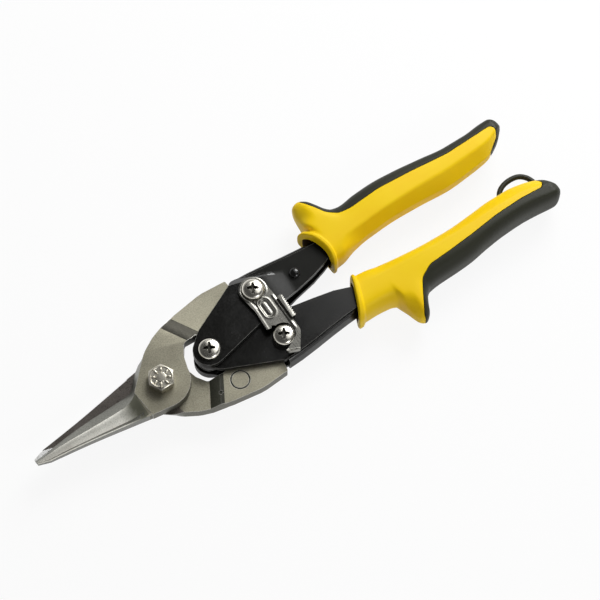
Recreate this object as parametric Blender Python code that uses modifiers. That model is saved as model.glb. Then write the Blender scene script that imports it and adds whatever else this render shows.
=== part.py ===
"""Aviation snips, closed and latched, lying flat.

The main pivot stands on the Z axis, and the end of its bolt is the lowest point, at Z = 0.
Jaws point to -X, grips to +X. The upper handle is the one on the +Y side, seen from above.
Plan positions below are millimetres from the main pivot, heights are from the blades' shear plane.
"""
import math

import bmesh
import bpy
from mathutils import Matrix, Vector

MM = 0.001

# Driving dimensions.
SHEAR_PLANE_HEIGHT = 10.9
GAP = 0.3
MAIN_PIVOT = (0.0, 0.0)
HANDLE_PIVOT = (23.6, 0.0)
LINK_X = 53.0
LINK_Y = 11.8
UPPER_LINK = (LINK_X, LINK_Y)
LOWER_LINK = (LINK_X, -LINK_Y)

# Heights of the layers.
BLADE_TOP = 5.5
SHEAR_CLEARANCE = 0.15
TAIL_TOP = 2.65
SHEET = 2.0
INNER_CHEEK = TAIL_TOP + GAP
CHANNEL_TOP = INNER_CHEEK + SHEET
OUTER_CHEEK = CHANNEL_TOP + GAP
OUTER_CHEEK_TOP = OUTER_CHEEK + SHEET
WASHER_BOTTOM = OUTER_CHEEK_TOP + GAP
WASHER_TOP = WASHER_BOTTOM + 0.3
LATCH_BOTTOM = WASHER_TOP + GAP
LATCH_TOP = LATCH_BOTTOM + 1.1

# Blades.
DISC_RADIUS = 12.1
TAIL_END_RADIUS = 7.0
STEP_DIRECTION = math.radians(30)
TOP_STEP = (20.6, 27.2)
SHEAR_STEP = (19.6, 24.0)
JAW_ROOT = -3.0
BADGE = (27.9, -16.7)
BADGE_RADIUS = 4.3
DIMPLE = (18.1, -17.0)

# Fasteners.
BOLT_RADIUS = 3.9
BOLT_HOLE = BOLT_RADIUS + GAP
OPEN_PIVOT_HOLE = BOLT_HOLE + 0.3
SCREW_RADIUS = 2.9
SCREW_HOLE = SCREW_RADIUS + GAP
PAN_RADIUS = 4.7
HEX_RADIUS = 5.95
HEX_HEIGHT = 4.4
HEX_BUMPS = 8
BOLT_END = -SHEAR_PLANE_HEIGHT
NUT_RADIUS = 5.4
PIVOT_NUT_RADIUS = 6.6
PIVOT_NUT_HEIGHT = 4.6
SPACER_RADIUS = 4.9
BUSH_RADIUS = 4.3
LATCH_WASHER_RADIUS = 5.2
SCREW_END = -9.6
LOWER_LINK_SCREW_END = -8.6
RIVET_DOME = [(0, 1.7), (1.2, 1.5), (2.1, 0.9), (2.5, 0.0)]
RIVET_SHANK = 1.5
RECESS_TURN = math.radians(-31)

# Handles.
NOSE_RADIUS = 7.0
WEB_START = 49.3
TANG_END = 140.0
BEND_RADIUS = 1.9
LAP = 0.03
WEB_LAP = 1.6
STRIP_WIDTH = 3.0
JOGGLE_POINT = (59.5, 16.4)
JOGGLE_SLOPE = -0.305
JOGGLE_HALF_WIDTH = 1.1
JOGGLE_FADE = (57.5, 71.0)
RIVET = (72.9, 10.1)
RIVET_HOLE = 1.8

# Latch.
LATCH_CROWN_RADIUS = 6.1
LATCH_PRESS_DEPTH = 0.75
LATCH_TEETH = 7
LATCH_FLANGE_HEIGHT = 1.9
LATCH_LIP_HEIGHT = 0.8

# Spring.
SPRING_WIRE = 1.2
SPRING_RADIUS = 5.4
SPRING_PITCH = 1.65
SPRING_TURNS = 2.5

# Grips: the sections lean near the collar, less and less as far as the grip's own straight station.
RIM_BEAD = [(0.0, 0.0), (0.8, 1.0), (2.0, 1.0), (3.1, 0.0)]
GRIP_LEAN_CENTRE = 14.0
GRIP_END_ROUNDING = 4.5
GRIP_EXPONENT = 3.0
GRIP_SECTION_POINTS = 24
MOUTH_CLEARANCE = 0.8
MOUTH_DEPTH = 7.0
POCKET_START = 76.0

# Hanging loop.
LOOP_RADIUS = 1.2
LOOP_HEIGHT = -4.0
LOOP_ROUTE = [(168.3, -9.5), (169.2, -6.0), (171.3, -3.6), (174.5, -2.2), (178.5, -1.9), (182.0, -2.8),
              (184.6, -5.4), (185.9, -9.5), (186.2, -14.0)]


def start_collection(name):
    """Empty the file's scene and give it one collection for the parts."""
    for old in list(bpy.data.objects):
        bpy.data.objects.remove(old, do_unlink=True)
    collection = bpy.data.collections.new(name)
    bpy.context.scene.collection.children.link(collection)
    return collection


PARTS = start_collection("aviation_snips")


# ---------------------------------------------------------------- outlines
def circle(centre, radius, steps=24):
    return arc(centre, radius, 0, 360, steps)[:-1]


def arc(centre, radius, start, end, steps):
    """Points on an arc, angles in degrees."""
    points = []
    for i in range(steps + 1):
        angle = math.radians(start + (end - start) * i / steps)
        points.append((centre[0] + radius * math.cos(angle), centre[1] + radius * math.sin(angle)))
    return points


def rounded(corners):
    """Outline through corners (x, y) or (x, y, radius), each radius an arc between its two sides."""
    outline = []
    for i, corner in enumerate(corners):
        here = Vector(corner[:2])
        if len(corner) == 2 or corner[2] == 0:
            outline.append(tuple(here))
            continue
        back = (Vector(corners[i - 1][:2]) - here).normalized()
        ahead = (Vector(corners[(i + 1) % len(corners)][:2]) - here).normalized()
        half = back.angle(ahead) / 2
        centre = here + (back + ahead).normalized() * (corner[2] / math.sin(half))
        first = here + back * (corner[2] / math.tan(half)) - centre
        last = here + ahead * (corner[2] / math.tan(half)) - centre
        sweep = math.atan2(first.x * last.y - first.y * last.x, first.dot(last))
        steps = max(1, math.ceil(abs(sweep) / math.radians(18)))
        for k in range(steps + 1):
            turn = Matrix.Rotation(sweep * k / steps, 2)
            outline.append(tuple(centre + turn @ first))
    return outline


def mirrored(outline, side):
    """The outline for the upper side (+1), or its mirror image for the lower side (-1)."""
    return [(point[0], point[1] * side, *point[2:]) for point in outline]


def grown(outline, distance):
    """The outline moved outwards by a distance."""
    count = len(outline)
    area = sum(outline[i - 1][0] * outline[i][1] - outline[i][0] * outline[i - 1][1] for i in range(count))
    outward = math.copysign(1, area)
    result = []
    for i in range(count):
        here = Vector(outline[i])
        along = (here - Vector(outline[i - 1])).normalized()
        onward = (Vector(outline[(i + 1) % count]) - here).normalized()
        bisector = (along + onward).normalized()
        stretch = 1 / max(0.4, bisector.dot(along))
        result.append((here.x + bisector.y * outward * distance * stretch,
                       here.y - bisector.x * outward * distance * stretch))
    return result


def smooth(table, x):
    """Value at x of a smooth curve through (x, value) rows that never overshoots them."""
    if x <= table[0][0]:
        return table[0][1]
    if x >= table[-1][0]:
        return table[-1][1]
    slopes = [(b[1] - a[1]) / (b[0] - a[0]) for a, b in zip(table, table[1:])]
    tangents = [0.0]
    for before, after in zip(slopes, slopes[1:]):
        tangents.append(0.0 if before * after <= 0 else 2 * before * after / (before + after))
    tangents.append(0.0)
    i = max(k for k in range(len(table) - 1) if table[k][0] <= x)
    width = table[i + 1][0] - table[i][0]
    t = (x - table[i][0]) / width
    return (table[i][1] * (1 + 2 * t) * (1 - t) ** 2 + tangents[i] * width * t * (1 - t) ** 2
            + table[i + 1][1] * t * t * (3 - 2 * t) - tangents[i + 1] * width * t * t * (1 - t))


# ---------------------------------------------------------------- solids
def link(name, data):
    obj = bpy.data.objects.new(name, data)
    PARTS.objects.link(obj)
    return obj


def settled(obj):
    """Replace an object by its evaluated, welded mesh, at the world's origin."""
    bpy.context.view_layer.update()
    evaluated = obj.evaluated_get(bpy.context.evaluated_depsgraph_get())
    mesh = bpy.data.meshes.new_from_object(evaluated)
    mesh.transform(obj.matrix_world)
    name = obj.name
    bpy.data.objects.remove(obj, do_unlink=True)
    shape = bmesh.new()
    shape.from_mesh(mesh)
    bmesh.ops.remove_doubles(shape, verts=shape.verts, dist=0.0005 * MM)
    bmesh.ops.recalc_face_normals(shape, faces=shape.faces)
    shape.to_mesh(mesh)
    shape.free()
    return link(name, mesh)


def flat(name, outline, bottom, top, holes=()):
    """A plate between two heights, from a filled outline with holes."""
    curve = bpy.data.curves.new(name, 'CURVE')
    curve.dimensions = '2D'
    curve.fill_mode = 'BOTH'
    curve.extrude = (top - bottom) / 2 * MM
    for loop in (outline, *holes):
        spline = curve.splines.new('POLY')
        spline.points.add(len(loop) - 1)
        for point, (x, y) in zip(spline.points, loop):
            point.co = (x * MM, y * MM, 0, 1)
        spline.use_cyclic_u = True
    obj = link(name, curve)
    obj.location.z = (bottom + top) / 2 * MM
    return settled(obj)


def turned(name, profile, centre, steps=28):
    """A profile of (radius, height) rows, outer side top to bottom, turned round an upright axis."""
    shape = bmesh.new()
    verts = [shape.verts.new((radius * MM, 0, height * MM)) for radius, height in profile]
    for a, b in zip(verts, verts[1:]):
        shape.edges.new((a, b))
    if profile[0][0] > 0:
        shape.edges.new((verts[-1], verts[0]))
    mesh = bpy.data.meshes.new(name)
    shape.to_mesh(mesh)
    shape.free()
    obj = link(name, mesh)
    obj.location = (centre[0] * MM, centre[1] * MM, 0)
    screw = obj.modifiers.new("turn", 'SCREW')
    screw.steps = screw.render_steps = steps
    screw.use_merge_vertices = True
    screw.merge_threshold = 0.00001
    return settled(obj)


def tube(name, points, radius, resolution=2):
    """A round bar along points (x, y, z), with filled ends."""
    curve = bpy.data.curves.new(name, 'CURVE')
    curve.dimensions = '3D'
    curve.bevel_depth = radius * MM
    curve.bevel_resolution = resolution
    curve.use_fill_caps = True
    spline = curve.splines.new('POLY')
    spline.points.add(len(points) - 1)
    for point, place in zip(spline.points, points):
        point.co = (*(Vector(place) * MM), 1)
    return settled(link(name, curve))


def loft(name, rings):
    """A closed solid through rings of (x, y, z) points, all with the same count."""
    shape = bmesh.new()
    rows = [[shape.verts.new(Vector(point) * MM) for point in ring] for ring in rings]
    for row, following in zip(rows, rows[1:]):
        for i in range(len(row)):
            shape.faces.new((row[i - 1], row[i], following[i], following[i - 1]))
    shape.faces.new(rows[0])
    shape.faces.new(rows[-1])
    bmesh.ops.triangulate(shape, faces=shape.faces)
    bmesh.ops.recalc_face_normals(shape, faces=shape.faces)
    mesh = bpy.data.meshes.new(name)
    shape.to_mesh(mesh)
    shape.free()
    return link(name, mesh)


def combined(target, other, operation):
    """The target after one Boolean with another solid, which is used up."""
    step = target.modifiers.new("combine", 'BOOLEAN')
    step.operation = operation
    step.solver = 'EXACT'
    step.object = other
    result = settled(target)
    bpy.data.objects.remove(other, do_unlink=True)
    return result


def joined(target, *others):
    for other in others:
        target = combined(target, other, 'UNION')
    return target


def cut(target, *cutters):
    for cutter in cutters:
        target = combined(target, cutter, 'DIFFERENCE')
    return target


def kept(target, limit):
    return combined(target, limit, 'INTERSECT')


def hole(centre, radius, bottom=-20, top=20):
    return flat("hole", circle(centre, radius), bottom, top)


# ---------------------------------------------------------------- materials and bodies
def material(name, colour, roughness, metallic):
    made = bpy.data.materials.new(name)
    made.use_nodes = True
    shader = made.node_tree.nodes["Principled BSDF"]
    shader.inputs["Base Color"].default_value = (*colour, 1)
    shader.inputs["Roughness"].default_value = roughness
    shader.inputs["Metallic"].default_value = metallic
    made.diffuse_color = (*colour, 1)
    return made


BLADE_STEEL = material("blade_steel", (0.30, 0.29, 0.24), 0.42, 0.9)
BRIGHT_STEEL = material("bright_steel", (0.62, 0.60, 0.56), 0.18, 1.0)
BLACK_PAINT = material("black_paint", (0.018, 0.018, 0.017), 0.38, 0.2)
YELLOW_GRIP = material("yellow_grip", (0.78, 0.52, 0.02), 0.45, 0.0)
BLACK_RUBBER = material("black_rubber", (0.028, 0.030, 0.024), 0.6, 0.0)


def axis_empty(name, centre, parent=None):
    """An empty on a joint's axis, at the height of the shear plane."""
    empty = bpy.data.objects.new(name, None)
    PARTS.objects.link(empty)
    place = Vector((centre[0], centre[1], SHEAR_PLANE_HEIGHT)) * MM
    if parent:
        empty.parent = parent
        place -= parent.matrix_world.translation
    empty.location = place
    bpy.context.view_layer.update()
    return empty


LOWER_HANDLE_BODY = axis_empty("lower_handle_body", HANDLE_PIVOT)
UPPER_HANDLE_BODY = axis_empty("upper_handle_body", HANDLE_PIVOT, LOWER_HANDLE_BODY)
UPPER_BLADE_BODY = axis_empty("upper_blade_body", UPPER_LINK, UPPER_HANDLE_BODY)
LOWER_BLADE_BODY = axis_empty("lower_blade_body", LOWER_LINK, LOWER_HANDLE_BODY)
LATCH_BODY = axis_empty("latch_body", UPPER_LINK, UPPER_HANDLE_BODY)


def finish(obj, name, surface, body, smooth_angle=35):
    """Name a part, colour it, and hang it on its body's axis."""
    obj.name = name
    obj.data.name = name
    obj.data.materials.clear()
    obj.data.materials.append(surface)
    obj.data.shade_smooth()
    obj.data.set_sharp_from_angle(angle=math.radians(smooth_angle))
    axis = body.matrix_world.translation - Vector((0, 0, SHEAR_PLANE_HEIGHT)) * MM
    obj.data.transform(Matrix.Translation(-axis))
    obj.parent = body
    return obj


# ---------------------------------------------------------------- blades
def blade_plan():
    """Disc and tail of the upper blade, seen from above."""
    disc = arc(MAIN_PIVOT, DISC_RADIUS, -95, -5, 9)
    tail_end = arc(UPPER_LINK, TAIL_END_RADIUS, -98, 125, 14)
    outer = [(47.2, 20.7, 0.8), (46.7, 24.3, 0.8), (34.3, 25.1, 14), (19.0, 22.8, 14), (6.9, 18.4, 10),
             (0.4, 14.6, 8), (-12.3, 1.8, 1.5), (-11.0, -10.6)]
    inner = [(13.7, 4.6, 2), (16.6, 9.0, 2), (23.5, 10.2, 5)]
    return rounded(outer + disc + inner + tail_end)


def blade_thickness():
    """Side profile along the tail, as a long bar: thick at the disc, stepped down to the tail."""
    profile = [(-75, BLADE_TOP), (-75, SHEAR_CLEARANCE), (SHEAR_STEP[0], SHEAR_CLEARANCE),
               (SHEAR_STEP[1], -TAIL_TOP), (75, -TAIL_TOP), (75, TAIL_TOP), (TOP_STEP[1], TAIL_TOP),
               (TOP_STEP[0], BLADE_TOP)]
    bar = flat("profile", profile, -40, 60)
    upright = Matrix.Rotation(math.radians(90), 4, 'X')
    bar.data.transform(Matrix.Rotation(STEP_DIRECTION, 4, 'Z') @ upright)
    return bar


def jaw():
    """Jaw of the upper blade: upright outer side, hollow top, and a bevel down to the cutting edge.

    The bevel runs on up the disc's left side, and the hollow starts with a short steep slope at the disc.
    """
    outer = [(1.4, -6.0), (-9, -10.6), (-13, -10.0), (-20, -8.8), (-36, -6.1), (-48, -4.4), (-57, -3.2),
             (-61.2, -1.6)]
    ridge = [(1.4, 14.9), (-1.5, 12.7), (-6.1, 8.1), (-9.9, 4.1), (-12.1, 1.6), (-15.4, -0.6), (-18.5, -1.4),
             (-25, -1.3), (-36, -1.0), (-50, -0.4), (-61.2, -0.6)]
    edge = [(1.4, 15.1), (-1.5, 14.1), (-4, 12.8), (-6.2, 11.1), (-9.6, 7.9), (-12.5, 4.7), (-14.5, 3.8),
            (-20, 3.5), (-28, 3.4), (-36, 3.1), (-45, 2.4), (-53, 1.5), (-61.2, 0.5)]
    height = [(1.4, 5.4), (-12.3, 5.35), (-20, 4.8), (-36, 4.1), (-50, 3.4), (-61.2, 2.3)]
    hollow = [(-12.3, 0.05), (-14.5, 0.9), (-18, 1.5), (-24, 1.4), (-45, 0.9), (-58, 0.3), (-61.2, 0.06)]
    tables = [sorted(table) for table in (outer, ridge, edge, height, hollow)]
    rings = []
    for x in (1.4, -1.5, -4, -6.5, -9, -10.8, -12.3, -13.4, -14.5, -16.5, -19, -24, -31, -38, -45, -51, -56, -59,
              -61.2):
        side, crest, cutting, top, sag = (smooth(table, x) for table in tables)
        middle = (side + crest) / 2
        rings.append([(x, side, JAW_ROOT), (x, side, top - 0.5), (x, side + 0.4, top),
                      (x, (side + middle) / 2, top - 0.8 * sag), (x, middle, top - sag),
                      (x, (crest + middle) / 2, top - 0.8 * sag), (x, crest, top),
                      (x, cutting, SHEAR_CLEARANCE + 0.7), (x, cutting, JAW_ROOT)])
    return loft("jaw", rings)


def blade():
    """Upper blade without its pivot hole: jaw and disc start below the shear plane and are cut off there."""
    body = joined(flat("blade", blade_plan(), -6, 6), jaw())
    return cut(kept(body, blade_thickness()), hole(UPPER_LINK, SCREW_HOLE))


def make_blades():
    upper = cut(blade(), hole(MAIN_PIVOT, OPEN_PIVOT_HOLE))
    finish(upper, "upper_blade", BLADE_STEEL, UPPER_BLADE_BODY)
    lower = cut(blade(), hole(MAIN_PIVOT, BOLT_HOLE))
    lower.data.transform(Matrix.Rotation(math.pi, 4, 'X'))
    groove = flat("groove", circle(BADGE, BADGE_RADIUS), TAIL_TOP - 0.35, TAIL_TOP + 1,
                  [circle(BADGE, BADGE_RADIUS - 0.7)])
    lower = cut(lower, groove, hole(DIMPLE, 0.9, TAIL_TOP - 0.5))
    finish(lower, "lower_blade", BLADE_STEEL, LOWER_BLADE_BODY)


# ---------------------------------------------------------------- fasteners
def pan_screw(name, centre, bottom, head_bottom, head_top, body):
    """A pan head with a cross recess, and its shank."""
    crown = head_top - head_bottom
    profile = [(0, head_top), (1.6, head_top - 0.08), (3.0, head_top - 0.4), (3.9, head_top - 0.95),
               (4.5, head_top - 1.7), (PAN_RADIUS, head_top - min(2.2, crown - 0.2)),
               (PAN_RADIUS, head_bottom), (SCREW_RADIUS, head_bottom), (SCREW_RADIUS, bottom), (0, bottom)]
    screw = turned(name, profile, centre)
    x, y = centre
    arm, half = 2.6, 0.55
    cross = [(half, half), (half, arm), (-half, arm), (-half, half), (-arm, half), (-arm, -half),
             (-half, -half), (-half, -arm), (half, -arm), (half, -half), (arm, -half), (arm, half)]
    c, s = math.cos(RECESS_TURN), math.sin(RECESS_TURN)
    recess = flat("recess", [(x + u * c - v * s, y + u * s + v * c) for u, v in cross], head_top - 1.5, head_top + 1)
    finish(cut(screw, recess), name, BRIGHT_STEEL, body)


def hexagon(centre, radius, bottom, top, chamfer=0.5):
    """A hexagonal prism, its upper and lower corners cut by a turned chamfer."""
    prism = flat("prism", circle(centre, radius, 6), bottom, top)
    limit = turned("limit", [(0, top), (radius - chamfer * 1.6, top), (radius, top - chamfer),
                             (radius, bottom + chamfer), (radius - chamfer * 1.6, bottom), (0, bottom)], centre)
    return kept(prism, limit)


def nut(name, centre, radius, bore, top, bottom, body):
    solid = cut(hexagon(centre, radius, bottom, top), hole(centre, bore))
    finish(solid, name, BRIGHT_STEEL, body)


def main_bolt():
    """Hexagon head with raised radial bars round a plain centre, and the shank."""
    head_bottom = BLADE_TOP + GAP
    head_top = head_bottom + HEX_HEIGHT
    bolt = hexagon(MAIN_PIVOT, HEX_RADIUS, head_bottom, head_top, 0.6)
    shank = turned("shank", [(0, head_bottom + 1), (BOLT_RADIUS, head_bottom + 1), (BOLT_RADIUS, BOLT_END + 0.4),
                             (BOLT_RADIUS - 0.4, BOLT_END), (0, BOLT_END)], MAIN_PIVOT)
    bolt = joined(bolt, shank)
    for i in range(HEX_BUMPS):
        bar = flat("bar", [(2.1, -0.35), (4.0, -0.35), (4.0, 0.35), (2.1, 0.35)], head_top - 0.5, head_top + 0.3)
        bar.data.transform(Matrix.Rotation(2 * math.pi * i / HEX_BUMPS, 4, 'Z'))
        bolt = joined(bolt, bar)
    finish(bolt, "pivot_bolt", BRIGHT_STEEL, LOWER_BLADE_BODY, 25)


def ring(name, centre, outer, bottom, top, body):
    """A washer or sleeve with the screws' clearance hole."""
    profile = [(outer, top), (outer, bottom), (SCREW_HOLE, bottom), (SCREW_HOLE, top)]
    finish(turned(name, profile, centre), name, BRIGHT_STEEL, body)


def make_fasteners():
    main_bolt()
    pivot_nut_top = -BLADE_TOP - GAP
    nut("pivot_nut", MAIN_PIVOT, PIVOT_NUT_RADIUS, BOLT_HOLE, pivot_nut_top, pivot_nut_top - PIVOT_NUT_HEIGHT,
        LOWER_BLADE_BODY)
    outer_nut_top = -OUTER_CHEEK_TOP - GAP
    pan_screw("handle_pivot_screw", HANDLE_PIVOT, SCREW_END, OUTER_CHEEK_TOP + GAP, LATCH_TOP + 0.55,
              LOWER_HANDLE_BODY)
    nut("handle_pivot_nut", HANDLE_PIVOT, NUT_RADIUS, SCREW_HOLE, outer_nut_top, SCREW_END - 0.55, LOWER_HANDLE_BODY)
    ring("handle_pivot_bush", HANDLE_PIVOT, BUSH_RADIUS, -TAIL_TOP, TAIL_TOP, LOWER_HANDLE_BODY)
    pan_screw("upper_link_screw", UPPER_LINK, SCREW_END, LATCH_TOP + GAP, LATCH_TOP + 2.8, UPPER_HANDLE_BODY)
    nut("upper_link_nut", UPPER_LINK, NUT_RADIUS, SCREW_HOLE, outer_nut_top, SCREW_END - 0.55, UPPER_HANDLE_BODY)
    ring("upper_link_washer_top", UPPER_LINK, SPACER_RADIUS, INNER_CHEEK, CHANNEL_TOP, UPPER_HANDLE_BODY)
    ring("upper_link_washer_bottom", UPPER_LINK, SPACER_RADIUS, -CHANNEL_TOP, -INNER_CHEEK, UPPER_HANDLE_BODY)
    ring("latch_washer", UPPER_LINK, LATCH_WASHER_RADIUS, WASHER_BOTTOM, WASHER_TOP, UPPER_HANDLE_BODY)
    pan_screw("lower_link_screw", LOWER_LINK, LOWER_LINK_SCREW_END, CHANNEL_TOP + GAP, LATCH_TOP + GAP,
              LOWER_HANDLE_BODY)
    nut("lower_link_nut", LOWER_LINK, NUT_RADIUS, SCREW_HOLE, -CHANNEL_TOP - GAP, LOWER_LINK_SCREW_END - 0.25,
        LOWER_HANDLE_BODY)
    base = CHANNEL_TOP + GAP
    half = [(radius, base + height) for radius, height in RIVET_DOME] + [(RIVET_SHANK, base)]
    rivet = half + [(radius, -height) for radius, height in reversed(half)]
    finish(turned("rivet", rivet, RIVET, 20), "spring_stop_rivet", BLACK_PAINT, UPPER_HANDLE_BODY)


# ---------------------------------------------------------------- handles
def cheek_outline(end):
    """Cheek and flat as far as x = end, without the bent outer strip of the channel."""
    nose = arc(HANDLE_PIVOT, NOSE_RADIUS, 125, 281, 12)
    stations = [x for x in (47, 56, 64, 73, 82, 87, 92, 97, 102, 115) if x < end - 1] + [end]
    inner = [(x, inner_edge(x)) for x in stations]
    outer = [(x, outer_edge(x) - WEB_LAP) for x in reversed(stations[1:])]
    front = rounded([(60, outer_edge(60) - WEB_LAP), (48.0, 20.6, 0.8), (46.6, 19.8, 0.8), (24.2, 9.7, 6),
                     nose[0]])[1:-1]
    return nose + inner + outer + front


def outer_edge(x):
    return smooth([(WEB_START, 22.2), (81, 19.2), (92, 18.6), (TANG_END, 16.8)], x)


def inner_edge(x):
    return smooth([(47, -2.0), (64, 2.0), (82, 5.6), (92, 9.4), (102, 11.8), (TANG_END, 12.0)], x)


def web(side):
    """Outer wall of the channel, with the sheet's bends, from its front end to the end of the tang."""
    top = CHANNEL_TOP - LAP
    bend = [(BEND_RADIUS * (1 - math.cos(math.radians(a))), top - BEND_RADIUS * (1 - math.sin(math.radians(a))))
            for a in (90, 67.5, 45, 22.5, 0)]
    half = [(SHEET, top)] + bend
    section = half + [(d, -z) for d, z in reversed(half)]
    rings = []
    for x in (WEB_START, 56, 64, 72, 81, 86, 92, 104, 120, TANG_END):
        rings.append([(x, side * (outer_edge(x) - d), z) for d, z in section])
    return loft("web", rings)


def flanges(side, outline):
    """Upper and lower flat of a channel."""
    return (flat("flange", mirrored(outline, side), INNER_CHEEK, CHANNEL_TOP),
            flat("flange", mirrored(outline, side), -CHANNEL_TOP, -INNER_CHEEK))


def joggle_height(x, y):
    """How far a point of the upper cheek is pressed outwards, to pass over the lower handle's cheek."""
    below = (JOGGLE_POINT[1] + JOGGLE_SLOPE * (x - JOGGLE_POINT[0]) - y) * math.cos(math.atan(JOGGLE_SLOPE))
    across = min(1, max(0, 0.5 + below / (2 * JOGGLE_HALF_WIDTH)))
    along = min(1, max(0, (JOGGLE_FADE[1] - x) / (JOGGLE_FADE[1] - JOGGLE_FADE[0])))
    return (OUTER_CHEEK - INNER_CHEEK) * across * along * along * (3 - 2 * along)


def joggled_cheek(side):
    """The upper handle's cheek on one side (+1 top, -1 bottom) as pressed sheet."""
    shape = bmesh.new()
    shape.faces.new([shape.verts.new((x * MM, y * MM, 0)) for x, y in cheek_outline(80)])
    slope = Vector((1, JOGGLE_SLOPE, 0)).normalized()
    normal = Vector((-slope.y, slope.x, 0))
    start = Vector((*JOGGLE_POINT, 0))
    folds = [(start + normal * offset, normal) for offset in (-JOGGLE_HALF_WIDTH, JOGGLE_HALF_WIDTH)]
    fade_steps = 9
    for i in range(fade_steps + 1):
        x = JOGGLE_FADE[0] + (JOGGLE_FADE[1] - JOGGLE_FADE[0]) * i / fade_steps
        folds.append((Vector((x, 0, 0)), Vector((1, 0, 0))))
    for place, direction in folds:
        everything = shape.verts[:] + shape.edges[:] + shape.faces[:]
        bmesh.ops.bisect_plane(shape, geom=everything, dist=0.0001 * MM, plane_co=place * MM, plane_no=direction)
    bmesh.ops.triangulate(shape, faces=shape.faces)
    for vert in shape.verts:
        vert.co.z = side * (INNER_CHEEK * MM + joggle_height(vert.co.x / MM, vert.co.y / MM) * MM)
    bmesh.ops.recalc_face_normals(shape, faces=shape.faces)
    if (sum(face.normal.z for face in shape.faces) > 0) != (side > 0):
        bmesh.ops.reverse_faces(shape, faces=shape.faces)
    mesh = bpy.data.meshes.new("cheek")
    shape.to_mesh(mesh)
    shape.free()
    cheek = link("cheek", mesh)
    sheet = cheek.modifiers.new("sheet", 'SOLIDIFY')
    sheet.thickness = SHEET * MM
    sheet.offset = 1
    sheet.use_even_offset = True
    return settled(cheek)


def strip_outline():
    """Flat of the upper channel: narrow beside the pressed cheek, full width behind it."""
    stations = (79, 86, 92, 97, 102, 115, TANG_END)
    inner = [(x, inner_edge(x)) for x in stations]
    outer = [(x, outer_edge(x) - WEB_LAP) for x in reversed((WEB_START, 60, 70) + stations)]
    return inner + outer + [(WEB_START + 0.4, outer_edge(WEB_START) - STRIP_WIDTH), (71, outer_edge(71) - STRIP_WIDTH)]


def make_handles():
    """Both handles: bent web, flats, and cheeks round the handle pivot."""
    strip = strip_outline()
    upper = joined(web(1), flat("strip", strip, INNER_CHEEK + LAP, CHANNEL_TOP - 2 * LAP),
                   flat("strip", strip, 2 * LAP - CHANNEL_TOP, -INNER_CHEEK - LAP), joggled_cheek(1),
                   joggled_cheek(-1))
    upper = cut(upper, hole(HANDLE_PIVOT, SCREW_HOLE), hole(UPPER_LINK, SCREW_HOLE), hole(RIVET, RIVET_HOLE))
    finish(upper, "upper_handle", BLACK_PAINT, UPPER_HANDLE_BODY)
    lower = joined(web(-1), *flanges(-1, cheek_outline(TANG_END)))
    lower = cut(lower, hole(HANDLE_PIVOT, SCREW_HOLE), hole(LOWER_LINK, SCREW_HOLE))
    finish(lower, "lower_handle", BLACK_PAINT, LOWER_HANDLE_BODY)


# ---------------------------------------------------------------- latch and spring
def make_latch():
    """Stamped latch: round the upper link screw, hooked on the lower link screw's head, thumb flange at the side."""
    x, y = LOWER_LINK
    notch = arc(LOWER_LINK, PAN_RADIUS + GAP, 100, -75, 12)
    body = rounded([(47.0, 12.4), (48.4, 3.0, 6), (48.0, y + 5.2, 0.6), (50.8, y + 4.9, 0.8)])
    end = [(x - 3.6, y - 7.3), (x - 2.9, y - 8.2), (x + 1.6, y - 10.0)]
    hook = rounded([(*end[0], 0.3), (*end[1], 0.4), (*end[2], 0.5), (59.9, -14.0, 4), (59.9, 0)])
    crown = arc(UPPER_LINK, LATCH_CROWN_RADIUS, -8, 174, 12)
    latch = flat("latch", body + notch + hook + crown, LATCH_BOTTOM, LATCH_TOP, [circle(UPPER_LINK, SCREW_HOLE)])
    press = rounded([(51.0, -2.8, 2.4), (55.9, -2.8, 2.4), (55.9, 6.4, 2.4), (51.0, 6.4, 2.4)])
    latch = cut(latch, flat("press", press, LATCH_TOP - LATCH_PRESS_DEPTH, LATCH_TOP + 1))
    teeth = []
    for i in range(LATCH_TEETH):
        low = -7.6 + i * 1.5
        teeth += [(61.6, low), (61.6, low + 0.8), (61.1, low + 1.0), (61.1, low + 1.4)]
    flange = flat("flange", [(59.6, -8.2), (60.8, -8.2)] + teeth + [(60.8, 3.1), (59.6, 3.1)],
                  LATCH_BOTTOM, LATCH_TOP + LATCH_FLANGE_HEIGHT)
    lip = flat("lip", [(end[0][0] + 0.3, end[0][1] + 0.1), (end[1][0] + 0.1, end[1][1] + 0.1),
                       (end[2][0] - 0.4, end[2][1] + 0.3), (end[2][0], end[2][1] + 1.0),
                       (end[1][0] + 0.6, end[1][1] + 0.9)], LATCH_TOP - 0.5, LATCH_TOP + LATCH_LIP_HEIGHT)
    finish(joined(latch, flange, lip), "latch", BRIGHT_STEEL, LATCH_BODY)


def make_spring():
    """Torsion spring: a coil on the bush, one leg on the rivet, the other on the lower handle's web."""
    x, y = HANDLE_PIVOT
    turn_steps = 20
    steps = int(SPRING_TURNS * turn_steps)
    rise = SPRING_PITCH * SPRING_TURNS / 2
    coil = []
    for i in range(steps + 1):
        angle = math.radians(90 + 360 * SPRING_TURNS * i / steps)
        height = rise - 2 * rise * i / steps
        coil.append((x + SPRING_RADIUS * math.cos(angle), y + SPRING_RADIUS * math.sin(angle), height))
    upper_leg = [(77.0, 8.9, 0.6), (71.0, 7.2, 0.8), (60.0, 3.6, 1.2), (30.0, 5.1, rise)]
    lower_leg = [(30.0, -5.2, -rise), (60.5, -2.8, -1.2), (64.0, -4.4, -1.0), (77.0, -14.8, -0.6)]
    finish(tube("spring", upper_leg + coil + lower_leg, SPRING_WIRE / 2, 1), "opening_spring", BRIGHT_STEEL,
           LOWER_HANDLE_BODY)
    least = min(math.dist(coil[i], coil[j]) for i in range(len(coil)) for j in range(i + turn_steps // 2, len(coil)))
    print("spring's least gap between turns, mm:", round(least - SPRING_WIRE, 2))


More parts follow.
